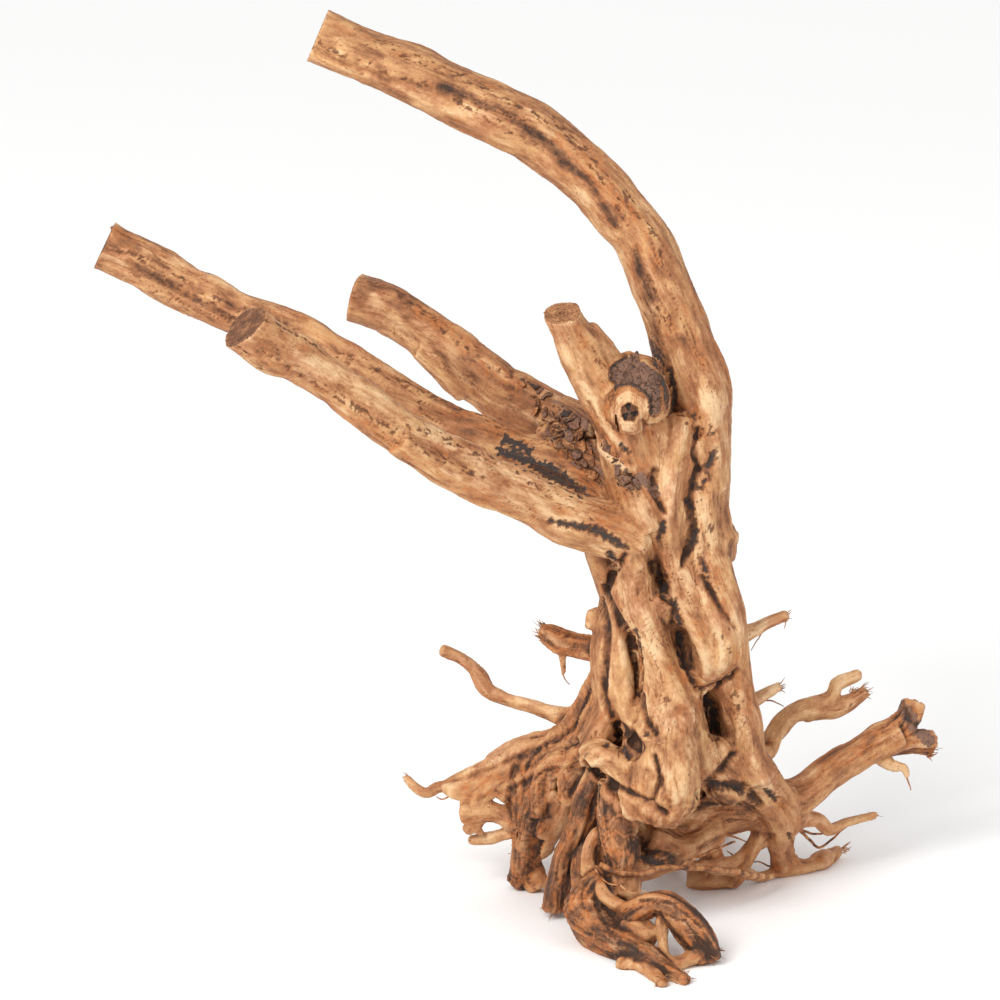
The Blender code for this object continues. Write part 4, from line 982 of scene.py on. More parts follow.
# Marks on the front of the wood, as the eye sees them.
STROKES = [
    # The main forms of the trunk: swells with painted highlight, and valleys with painted shade.
    *strokes(Mark.SWELL, ((10.5, 278, 4.5), (8, 264.5, 5), (5.5, 249, 5), (4, 236, 4)),
        ((-10.5, 238.5, 6), (-5, 228, 6), (-9, 219, 4.5)), ((-11.5, 209.5, 5), (-14, 196.5, 6),
        (-7.5, 183.5, 6.5), (-3.5, 170.5, 6.5), (1.5, 157.5, 7), (8, 144.5, 7), (15, 132.5, 6)),
        ((9.5, 209.5, 4.5), (18.5, 196.5, 6), (28, 183.5, 6.5), (33.5, 172, 6.5), (31, 160.5, 5)),
        ((-2.5, 139.5, 6.5), (8, 123.5, 7.5), (12.5, 108.5, 8), (10, 96.5, 6)),
        ((39.5, 144.5, 4.5), (42, 124.5, 5.5), (48.5, 107.5, 5.5), (57.5, 95, 4.5)),
        ((37, 224, 4.5),), ((-21, 177, 3.5), (-18, 157.5, 5), (-15.5, 144.5, 4)), ((-34, 110.5, 3),
        (-24.5, 114, 3.5), (-17, 108.5, 3)), ((21, 301.5, 6), (26.5, 275, 6), (29.5, 249, 5)),
        ((20, 172.5, 3), (23, 161.5, 3.5), (22, 152.5, 2.5)), ((-24, 94.5, 6), (-13, 86.5, 6),
        (-2.5, 82.5, 5))),
    *strokes(Mark.VALLEY, ((18.5, 257, 2.5), (14.5, 242.5, 3), (17, 230.5, 3), (13.5, 216.5, 2.5),
        (10.5, 209.5, 2)), ((0, 196.5, 2.5), (7, 189, 2.5), (6, 179.5, 2.5)), ((14.5, 158.5, 2.5),
        (18.5, 149.5, 3), (23, 144.5, 3)), ((-28.5, 199, 2), (-22, 186, 2), (-15.5, 174.5, 3),
        (-10.5, 158.5, 3), (-10.5, 145.5, 2)), ((-29.5, 192.5, 2), (-26, 177, 2.5),
        (-27.5, 157.5, 2.5), (-28.5, 144.5, 2.5), (-24, 134, 2.5)), ((-9, 144.5, 2),
        (-7.5, 134, 2.5), (-2.5, 126, 2.5)), ((-22, 131.5, 3.5), (-15, 125, 4.5), (-10, 118.5, 3)),
        ((37, 115.5, 2.5), (31.5, 107.5, 3), (21, 97, 3.5)), ((-38, 111.5, 2), (-30, 104.5, 2.5),
        (-21, 99, 2.5), (-5, 91.5, 2.5), (3, 85.5, 2)), ((21, 204, 2), (31.5, 186.5, 2.5),
        (38, 178.5, 2)), ((18.5, 147, 2), (30.5, 150.5, 2), (39.5, 157.5, 1.5)),
        ((-2.5, 257.5, 2.5), (-4, 247.5, 2.5), (2, 236.5, 2)), ((19.5, 277.5, 2.5), (17, 265, 2.5),
        (20, 257.5, 2)), ((-17.5, 214.5, 2.5), (-24, 205, 2.5), (-27, 196.5, 2)),
        ((-2.5, 114.5, 2), (0, 102.5, 2.5), (-4, 92.5, 2)), ((20, 95, 3), (30, 100, 4),
        (42.5, 97.5, 4), (51, 89.5, 2.5))),
    # Scars on the trunk, from the top down, with painted shade in them.
    *strokes(Mark.SCAR, ((26.5, 268, 0.83), (25.5, 263, 1.65), (23.5, 259.5, 0.99)),
        ((18, 256.5, 0.83), (16.5, 250.5, 1.32), (15.5, 246.5, 0.99)), ((16.5, 248.5, 0.99),
        (20.5, 249, 0.83), (23, 253, 0.66)), ((14.5, 242.5, 1.49), (16, 236, 1.16),
        (17, 233, 0.66)), ((1, 231, 1.32), (1, 227, 1.82), (-0.5, 224, 0.83)), ((18, 227.5, 1.32),
        (16, 222, 2.48), (14.5, 217.5, 1.32)), ((-25.5, 216, 1.32), (-23.5, 211.5, 2.15),
        (-22, 207.5, 0.99)), ((21.5, 212.5, 0.66), (23, 207.5, 0.99), (24.5, 204, 0.66)),
        ((6, 192.5, 1.16), (7.5, 187, 1.49), (9.5, 180.5, 1.32))),
    *strokes(Mark.PITTED, ((20, 214.5, 1.88), (24, 205, 3), (28, 196.5, 2.25)),
        ((33.5, 154.5, 1.88), (37.5, 147.5, 3), (40, 138.5, 2.62)), ((28, 178.5, 1.5),
        (32, 174.5, 1.88), (34, 167.5, 1.12)), ((11.5, 285.5, 2.62), (18.5, 280.5, 4.5),
        (26, 276.5, 2.62)), ((24, 239.5, 1.5), (26, 232.5, 2.25), (24.5, 220, 1.5)),
        ((23, 257.5, 1.5), (24.5, 252.5, 1.88)), ((-9, 209.5, 1.5), (-11, 197.5, 1.12))),
    *strokes(Mark.RUST, ((21.5, 250.5, 2.5), (21, 245, 3), (19, 238.5, 2.5)), ((12, 286.5, 4.5),
        (20, 280.5, 7), (31, 277.5, 4)), ((22.5, 212.5, 4), (28, 202.5, 4.5), (31, 192.5, 3)),
        ((37.5, 172.5, 3.5), (41, 152.5, 4.5), (43, 137.5, 3.5)), ((4, 160.5, 2.5), (15, 150.5, 4),
        (22.5, 148.5, 2.5))),
    *strokes(Mark.PALE, ((-2.5, 245.5, 4.5), (-8.5, 240, 5.5), (-5, 233.5, 3)), ((4, 272.5, 2.5),
        (2, 257.5, 3.5), (0.5, 242.5, 2.5)), ((2, 216.5, 2), (10, 192.5, 4), (20, 172.5, 4.5),
        (27, 158.5, 3.5)), ((-19, 197.5, 4), (-10, 172.5, 4.5), (-4, 147.5, 5), (0, 132.5, 4)),
        ((15, 120, 3), (12.5, 110, 4.5), (8, 97.5, 4.5)), ((31, 118.5, 2.5), (26, 110, 3))),
    # Hollows, crevices and pockets: painted shade inside them.
    *strokes(Mark.SHADE, ((-4, 211.5, 3), (0.5, 204, 4.5), (3.5, 197.5, 2.5))),
    *strokes(Mark.SCAR, ((-2.5, 209.5, 1.16), (0.5, 203.5, 1.98), (2, 198.5, 1.65)),
        ((9.5, 176.5, 1.65), (10.5, 167.5, 2.15), (12.5, 160, 1.65))),
    *strokes(Mark.SHADE, ((15, 175.5, 1.5), (16.5, 167.5, 2), (15.5, 160.5, 1.5))),
    *strokes(Mark.SCAR, ((23, 145.5, 1.65), (26, 136.5, 2.97), (27.5, 127.5, 2.64),
        (28, 123.5, 1.65)), ((-12.5, 176.5, 1.32), (-11, 169.5, 1.65), (-10, 163.5, 1.16))),
    *strokes(Mark.CRACK, ((-10, 163.5, 1), (-10, 152.5, 0.9), (-13, 142.5, 0.6))),
    *strokes(Mark.SCAR, ((-1.5, 128, 0.99),), ((-6, 125, 1.06),)),
    *strokes(Mark.SHADE, ((-21, 126, 3.5), (-15, 123.5, 5), (-9.5, 119.5, 3))),
    *strokes(Mark.SCAR, ((-19, 118.5, 1.65), (-15.5, 114.5, 1.65)), ((-27, 119.5, 1.49),)),
    *strokes(Mark.RIDGE, ((-25.5, 133.5, 1.5), (-19, 131.5, 1.5), (-12, 129, 1.5),
        (-7.5, 123.5, 1.5))),
    # The pelvis of the trunk: lips, folds and wings.
    *strokes(Mark.RIDGE, ((-38.5, 110.5, 1.5), (-33, 117.5, 2), (-24, 116.5, 2),
        (-15.5, 110.5, 1.5)), ((-34, 105, 1.5), (-28, 96.5, 2), (-19, 86.5, 2.5), (-7, 76.5, 2.5),
        (4, 72.5, 2))),
    *strokes(Mark.GROOVE, ((-30, 106.5, 1.5), (-24, 97.5, 2), (-15, 88.5, 2.5), (-4, 81.5, 2)),
        ((4, 142.5, 1.5), (14, 134.5, 2), (19.5, 124.5, 1.5)), ((-6, 107.5, 1.5), (2, 97.5, 1.5),
        (6, 86.5, 1.5))),
    *strokes(Mark.RIDGE, ((-2.5, 117.5, 2), (4, 105, 2), (7.5, 92.5, 2))),
    *strokes(Mark.SCAR, ((20, 93.5, 0.99), (28, 98.5, 1.98), (38, 99, 2.31), (46, 94, 1.98),
        (48.5, 89.5, 0.99))),
    *strokes(Mark.SHADE, ((17, 89.5, 2.5), (30, 91.5, 4.5), (44, 88.5, 4))),
    *strokes(Mark.SCAR, ((-30, 99, 0.83), (-32, 92.5, 0.99), (-34, 82.5, 0.83))),
    # Round the knob: bark lump, knot, torn folds and crumbling bark.
    # Painted shade and black down the hollow between the knob and the tall limb.
    *strokes(Mark.SHADE, ((-4, 319.5, 3), (0, 307.5, 4), (4, 295, 4.5), (6, 288.5, 3))),
    *strokes(Mark.SOOT, ((-2.5, 317.5, 1.5), (2, 303.5, 2.62), (5, 291.5, 2.62))),
    *strokes(Mark.SCAR, ((4, 306.5, 1.65), (6, 296.5, 1.98), (5.5, 289.5, 1.65))),
    *strokes(Mark.RUST, ((-28, 294.5, 2), (-24.5, 298.5, 2.25), (-17.5, 299.5, 2.25),
        (-11.5, 296, 2), (-9, 290.5, 2), (-6, 285.5, 2), (-6, 279, 2))),
    *strokes(Mark.RIDGE, ((-28, 294.5, 1.5), (-24.5, 298.5, 1.5), (-17.5, 299.5, 1.5),
        (-11.5, 296, 1.5), (-9, 290.5, 1.5), (-6, 285.5, 1.5), (-6, 279, 1.5))),
    *strokes(Mark.RUST, ((-27, 282.5, 4.5), (-24, 272.5, 5), (-18, 263.5, 4.5), (-12, 259.5, 3.5)),
        ((-6, 277.5, 3), (-5, 269.5, 3.5), (-8, 261.5, 3.5))),
    *strokes(Mark.CREAM, ((-37.5, 282.5, 1.5), (-33.5, 274.5, 2), (-28.5, 266.5, 2),
        (-20, 259.5, 2), (-13.5, 258, 1.75))),
    *strokes(Mark.RIDGE, ((-37.5, 282.5, 1.25), (-33.5, 274.5, 1.5), (-28.5, 266.5, 1.5),
        (-20, 259.5, 1.5), (-13.5, 258, 1.25))),
    *strokes(Mark.CREAM, ((-33, 292.5, 1.5), (-30, 282.5, 1.75), (-25, 274.5, 1.75),
        (-19, 269.5, 1.5))),
    *strokes(Mark.GROOVE, ((-35, 290.5, 1.25), (-31.5, 279.5, 1.5), (-26, 271.5, 1.5),
        (-21, 265.5, 1.5))),
    *strokes(Mark.SCAR, ((-19.5, 269.5, 0.99), (-16, 266.5, 1.16))),
    *strokes(Mark.RUST, ((-50, 265, 3.5), (-40, 259.5, 4.5), (-30, 253.5, 4)), ((-17.5, 257.5, 4),
        (-10, 252.5, 4.5), (-4, 247.5, 3))),
    *strokes(Mark.SCAR, ((-16, 255.5, 0.83), (-13.5, 253.5, 0.66)), ((-5.5, 254.5, 0.73),
        (-2.5, 251.5, 0.66), (-1.5, 244.5, 0.6))),
    *strokes(Mark.BARK, ((-10, 253.5, 2.5), (-5, 249.5, 3), (-2.5, 245.5, 2))),
    # A black streak of soot and painted shade, with a scar along it.
    *strokes(Mark.SOOT, ((-80, 267.5, 1.5), (-70, 263.5, 3), (-57.5, 257.5, 3.38),
        (-47, 251.5, 3.38), (-38.5, 246, 2.25))),
    *strokes(Mark.SCAR, ((-62, 258.5, 1.32), (-52, 253.5, 1.98), (-43, 248.5, 1.65),
        (-38.5, 245.5, 0.99))),
    *strokes(Mark.RUST, ((-37.5, 252.5, 4), (-30, 248.5, 4), (-20, 245, 3))),
    # Limb that comes forward on the left.
    *strokes(Mark.SCAR, ((-55, 232, 1.32), (-41.5, 229.5, 1.65), (-31.5, 227.5, 1.98),
        (-23, 222, 2.31), (-17, 219, 1.32))),
    *strokes(Mark.RUST, ((-50, 236.5, 3.5), (-35, 233.5, 4), (-21, 229.5, 4), (-16, 223.5, 3))),
    *strokes(Mark.PALE, ((-95, 266.5, 4), (-75, 255, 4.5), (-50, 246.5, 4.5), (-30, 242.5, 4)),
        ((-180, 317.5, 3.5), (-155, 301, 4), (-130, 285, 4), (-105, 270, 4))),
    *strokes(Mark.RUST, ((-190, 306.5, 3), (-165, 291, 3.5), (-140, 274.5, 4), (-115, 257.5, 4),
        (-90, 243.5, 4), (-65, 235.5, 3.5))),
    *strokes(Mark.PITTED, ((-199, 316.5, 1.88), (-180, 306.5, 2.25), (-160, 293.5, 2.25),
        (-140, 280.5, 2.25), (-115, 266.5, 2.25), (-90, 253.5, 2.25)), ((-125, 280, 1.88),
        (-105, 272.5, 2.25), (-80, 261.5, 2.25), (-60, 248.5, 1.88)), ((-180, 324.5, 1.5),
        (-165, 316.5, 1.5), (-150, 306.5, 1.5))),
    # Far left limb.
    *strokes(Mark.PITTED, ((-265, 366.5, 1.88), (-245, 355.5, 2.25), (-222.5, 343.5, 2.62),
        (-200, 333.5, 2.25), (-180, 325.5, 1.88)), ((-260, 361.5, 1.5), (-240, 348.5, 1.88),
        (-217.5, 336.5, 1.88)), ((-160, 316.5, 1.88), (-130, 302.5, 2.25), (-105, 291.5, 2.25),
        (-80, 280.5, 2.25))),
    *strokes(Mark.GROOVE, ((-265, 361.5, 1.5), (-250, 352, 1.5), (-225, 339, 1.5),
        (-210, 331.5, 1))),
    *strokes(Mark.PALE, ((-255, 367.5, 2.5), (-230, 357.5, 3), (-200, 342.5, 2.5))),
    *strokes(Mark.SHADE, ((-278, 372.5, 2.5), (-281, 361.5, 2))),
    *strokes(Mark.RUST, ((-110, 290, 3.5), (-90, 282.5, 4), (-70, 272.5, 4))),
    # A short black streak of soot and painted shade.
    *strokes(Mark.SOOT, ((-77.5, 272.5, 1.88), (-65, 267.5, 2.25))),
    # Middle limb.
    *strokes(Mark.PITTED, ((-145, 351, 1.88), (-125, 342.5, 2.25), (-107.5, 327.5, 2.25),
        (-90, 315, 2.25), (-75, 305, 2.25))),
    *strokes(Mark.RUST, ((-120, 337.5, 3), (-102.5, 322.5, 4), (-85, 307.5, 4),
        (-70, 297.5, 3.5))),
    *strokes(Mark.PALE, ((-144, 342.5, 3), (-130, 330, 3), (-115, 316.5, 2.5))),
    # Tall limb.
    *strokes(Mark.GROOVE, ((-173.5, 467.5, 1.5), (-155, 459, 1.5), (-135, 452.5, 1.5),
        (-115, 448, 1.25))),
    *strokes(Mark.PITTED, ((-170, 470, 1.5), (-152.5, 461.5, 1.88), (-132.5, 454.5, 2.25),
        (-110, 446.5, 2.25), (-85, 433.5, 2.25), (-60, 417.5, 2.25)), ((-132.5, 466.5, 1.88),
        (-110, 458.5, 2.25), (-85, 446.5, 2.25), (-65, 436.5, 1.88), (-50, 425, 1.88)),
        ((-57.5, 436.5, 1.88), (-37.5, 417.5, 2.25), (-25, 397.5, 2.62), (-12.5, 377.5, 2.62))),
    *strokes(Mark.SHADE, ((-110, 449.5, 2), (-80, 436.5, 2.5), (-55, 420, 2.5), (-35, 400, 2.5),
        (-22.5, 380, 2.5))),
    *strokes(Mark.RUST, ((-50, 422.5, 3.5), (-30, 402.5, 4.5), (-15, 382.5, 4.5),
        (-2.5, 361.5, 3.5)), ((15, 347.5, 2.5), (23, 332.5, 3), (31, 317.5, 3),
        (36.5, 302.5, 2.5))),
    *strokes(Mark.PITTED, ((-17.5, 395, 1.88), (-5, 377.5, 2.25), (4, 361.5, 1.88))),
    *strokes(Mark.PALE, ((-40, 397.5, 3), (-24, 372.5, 3.5), (-10, 342.5, 3.5), (-2, 322.5, 3)),
        ((15, 292.5, 4), (28, 292.5, 4.5), (31, 272.5, 3.5))),
    *strokes(Mark.PITTED, ((-10, 361.5, 1.88), (-2.5, 342.5, 2.25), (6, 327.5, 1.88))),
    *strokes(Mark.SHADE, ((-12, 367.5, 2), (-6, 342.5, 2.5), (-2.5, 322.5, 2.5))),
    *strokes(Mark.PALE, ((-90, 253.5, 4), (-65, 240, 4.5), (-42.5, 233.5, 4)), ((20, 242.5, 3.5),
        (26, 222.5, 4), (31, 197.5, 4))),
    # Stub.
    *strokes(Mark.RUST, ((-41, 327.5, 2.5), (-37, 317.5, 3.5), (-31, 305, 3.5),
        (-27, 296.5, 2.5))),
    *strokes(Mark.PALE, ((-52, 327.5, 3), (-45, 312.5, 4), (-38, 297.5, 4))),
    # Roots.
    *strokes(Mark.RUST, ((20, 67.5, 3), (40, 62.5, 3.5), (60, 58.5, 3), (80, 61.5, 2.5))),
    *strokes(Mark.SCAR, ((-10, 66.5, 1.65), (-5, 62.5, 2.64), (1, 59.5, 1.98))),
    *strokes(Mark.SHADE, ((-12, 69.5, 4), (-2.5, 63.5, 6), (10, 61.5, 4))),
    *strokes(Mark.SCAR, ((53, 97.5, 0.99), (58, 92.5, 1.32)), ((65.5, 73.5, 0.99),
        (68.5, 69.5, 0.99))),
    *strokes(Mark.GROOVE, ((-95, 103.5, 1.25), (-75, 111.5, 1.5), (-57.5, 118.5, 1.5)),
        ((-90, 92.5, 1.25), (-70, 100, 1.5), (-54, 108.5, 1.5))),
    *strokes(Mark.RIDGE, ((-80, 96.5, 1.5), (-62.5, 106.5, 2), (-47.5, 120, 2)), ((-60, 86.5, 2),
        (-52, 100, 2), (-43, 116.5, 2))),
    *strokes(Mark.GROOVE, ((20, 67.5, 1.25), (30, 72.5, 1.5), (45, 75, 1.5), (57.5, 73.5, 1.25))),
    *strokes(Mark.RUST, ((-95, 97.5, 5), (-70, 102.5, 7), (-50, 107.5, 6)), ((-60, 77.5, 6),
        (-57.5, 62.5, 6), (-65, 52.5, 5)), ((-30, 82.5, 4.5), (-28, 62.5, 5), (-30, 45, 5)),
        ((80, 107.5, 4.5), (100, 117.5, 5), (120, 130, 4.5))),
    *strokes(Mark.SCAR, ((124, 136.5, 1.32), (126, 131.5, 1.32), (131, 128.5, 1.32))),
    *strokes(Mark.BARK, ((122, 139.5, 3), (127.5, 131.5, 3.5), (136, 121.5, 3))),
    *strokes(Mark.RUST, ((-5, 40, 4.5), (10, 35, 4.5), (22.5, 22.5, 4))),
    *strokes(Mark.CRACK, ((-10, 42.5, 0.65), (6, 41.5, 0.75), (20, 30, 0.65), (26, 18.5, 0.6)),
        ((-2.5, 36.5, 0.6), (12.5, 32.5, 0.6), (21.5, 20, 0.55))),
    *strokes(Mark.SHADE, ((20, 18.5, 4), (26.5, 15, 4))),
    *strokes(Mark.RUST, ((-42.5, 30, 4.5), (-30, 20, 5), (-10, 10, 4), (5, 5, 3)), ((-52, 52.5, 4),
        (-50, 42.5, 4.5))),
]


COLUMN_KINDS = {1: ("FLOAT", "value"), 3: ("FLOAT_VECTOR", "vector"), 4: ("FLOAT_COLOR", "color")}
# The tone and dark masks carry painted highlight and shade as well as the wood's own colour.
MASKS = {"wear_and_shade": ("tone", "rust", "soot_and_shade", "bark"), "form": ("dark", "pale", "cut", "gloss")}


def select_only(thing: bpy.types.Object) -> None:
    """Make one object the only one selected, and the active one.

    Args:
        thing: The object.
    """
    bpy.ops.object.select_all(action="DESELECT")
    thing.select_set(True)
    bpy.context.view_layer.objects.active = thing


def new_object(name: str, places: Points, faces: Faces) -> bpy.types.Object:
    """Make an object from corners in millimetres.

    Args:
        name: The object's name.
        places: Corner places.
        faces: Corner numbers of each face.

    Returns:
        The object.
    """
    mesh = bpy.data.meshes.new(name)
    mesh.from_pydata(places * MM, [], faces)
    thing = bpy.data.objects.new(name, mesh)
    bpy.context.scene.collection.objects.link(thing)
    return thing


def joined(parts: Iterable[tuple[Points, Faces]]) -> tuple[Points, Faces]:
    """Several closed forms as one.

    Args:
        parts: Corner places and faces of each.

    Returns:
        Corner places and faces of all.
    """
    places, faces, start = [], [], 0
    for corners, around in parts:
        places.append(corners)
        faces += [tuple(corner + start for corner in face) for face in around]
        start += len(corners)
    return np.concatenate(places), faces


def add_columns(mesh: bpy.types.Mesh, columns: dict[str, Points]) -> None:
    """Store numbers at the points of a mesh.

    Args:
        mesh: The mesh.
        columns: One number, a vector or a colour at each point, by name.
    """
    for name, values in columns.items():
        kind, part = COLUMN_KINDS[values.size // len(mesh.vertices)]
        column = mesh.attributes.new(name, kind, "POINT")
        column.data.foreach_set(part, values.astype(np.float32).ravel())


def mask_columns(masks: dict[str, Points], count: int) -> dict[str, Points]:
    """Put masks together as the colours that the material reads.

    Args:
        masks: Masks by name; one that is missing is empty.
        count: How many points there are.

    Returns:
        The colours by name.
    """
    empty = np.zeros(count)
    return {name: np.stack([masks.get(part, empty) for part in parts], 1)
            for name, parts in MASKS.items()}


def apply_step(thing: bpy.types.Object, kind: str,
               **settings: str | float | bpy.types.Object) -> None:
    """Add a modifier to an object and apply it.

    Args:
        thing: The object.
        kind: The modifier's type.
        settings: Its values.
    """
    select_only(thing)
    step = thing.modifiers.new("step", kind)
    for name, value in settings.items():
        setattr(step, name, value)
    bpy.ops.object.modifier_apply(modifier=step.name)


def keep_largest_body(thing: bpy.types.Object) -> None:
    """Drop sealed hollows and loose scraps that fusing leaves.

    Args:
        thing: The object.
    """
    mesh = thing.data
    edges = np.empty(len(mesh.edges) * 2, np.int32)
    mesh.edges.foreach_get("vertices", edges)
    edges = edges.reshape(-1, 2)
    label = np.arange(len(mesh.vertices))
    while True:
        low = np.minimum(label[edges[:, 0]], label[edges[:, 1]])
        lower = label.copy()
        np.minimum.at(lower, edges[:, 0], low)
        np.minimum.at(lower, edges[:, 1], low)
        lower = lower[lower]
        if (lower == label).all():
            break
        label = lower
    largest = np.bincount(label).argmax()
    if (label == largest).all():
        return
    shape = bmesh.new()
    shape.from_mesh(mesh)
    shape.verts.ensure_lookup_table()
    loose = [shape.verts[i] for i in np.nonzero(label != largest)[0]]
    bmesh.ops.delete(shape, geom=loose, context="VERTS")
    shape.to_mesh(mesh)
    shape.free()


@dataclass
class Cutters:
    """The saw cuts, the hollows and the floor that the fused wood is cut with."""

    cuts: list[tuple[Vector, Vector]]
    hollows: list[tuple[tuple[float, ...], tuple[float, ...], float]]

    def saw_block(self, place: Vector, outward: Vector) -> bpy.types.Object:
        """A block whose near face is the saw cut at a limb's end.

        Args:
            place: The middle of the cut.
            outward: The way that the cut faces.

        Returns:
            The block.
        """
        bpy.ops.object.select_all(action="DESELECT")
        bpy.ops.mesh.primitive_cube_add(size=SAW_BLOCK * MM)
        block = bpy.context.object
        facing = outward.to_track_quat("Z", "Y").to_matrix().to_4x4()
        block.data.transform(Matrix.Translation((place + outward * SAW_BLOCK / 2.0) * MM) @ facing)
        return block

    def hollow(self, mouth: tuple[float, ...], halves: tuple[float, ...],
               lean: float) -> bpy.types.Object:
        """A long rounded cutter at the mouth of a hollow, running back into the trunk.

        Args:
            mouth: Across, up and back of the mouth.
            halves: Half sizes across, along and deep.
            lean: How far the long axis leans to the left at its top.

        Returns:
            The cutter.
        """
        place, _ = seen(*mouth, 0.0)
        bpy.ops.object.select_all(action="DESELECT")
        bpy.ops.mesh.primitive_ico_sphere_add(subdivisions=4, radius=MM)
        cutter = bpy.context.object
        across, along, deep = halves
        tilt = Matrix.Rotation(-VIEW_TILT, 4, "X") @ Matrix.Rotation(-lean, 4, "Y")
        size = Matrix.Diagonal((across, deep, along, 1.0))
        cutter.data.transform(Matrix.Translation(place * MM) @ tilt @ size)
        return cutter

    def floor(self) -> bpy.types.Object:
        """A block under the floor, which levels the feet.

        Returns:
            The block.
        """
        bpy.ops.object.select_all(action="DESELECT")
        bpy.ops.mesh.primitive_cube_add(size=FLOOR_BLOCK * MM)
        block = bpy.context.object
        block.data.transform(Matrix.Translation((0.0, 0.0, -FLOOR_BLOCK / 2.0 * MM)))
        return block

    def cut(self, wood: bpy.types.Object) -> None:
        """Cut the wood.

        Args:
            wood: The fused wood.
        """
        tools = [self.saw_block(*cut) for cut in self.cuts]
        tools += [self.hollow(*hollow) for hollow in self.hollows]
        tools.append(self.floor())
        bpy.ops.object.select_all(action="DESELECT")
        for tool in tools:
            tool.select_set(True)
        bpy.ops.object.join()
        joined = bpy.context.object
        apply_step(wood, "BOOLEAN", operation="DIFFERENCE", object=joined, solver="MANIFOLD")
        bpy.data.objects.remove(joined)


# The planes that part the wood into pieces: a place, and the way that the first half lies.
ABOVE_ROOTS = (0.0, 0.0, 93.0), (0.0, 0.0, 1.0)
RIGHT_OF_LIMBS = (-38.0, 0.0, 0.0), (1.0, 0.0, 0.0)
HIGH_UP = (0.0, 0.0, 352.0), (0.0, 0.0, 1.0)
UPPER_TRUNK = (0.0, 0.0, 236.0), (0.0, 0.0, 1.0)
RIGHT_ROOTS = (-12.0, 0.0, 0.0), (1.0, 0.0, 0.0)


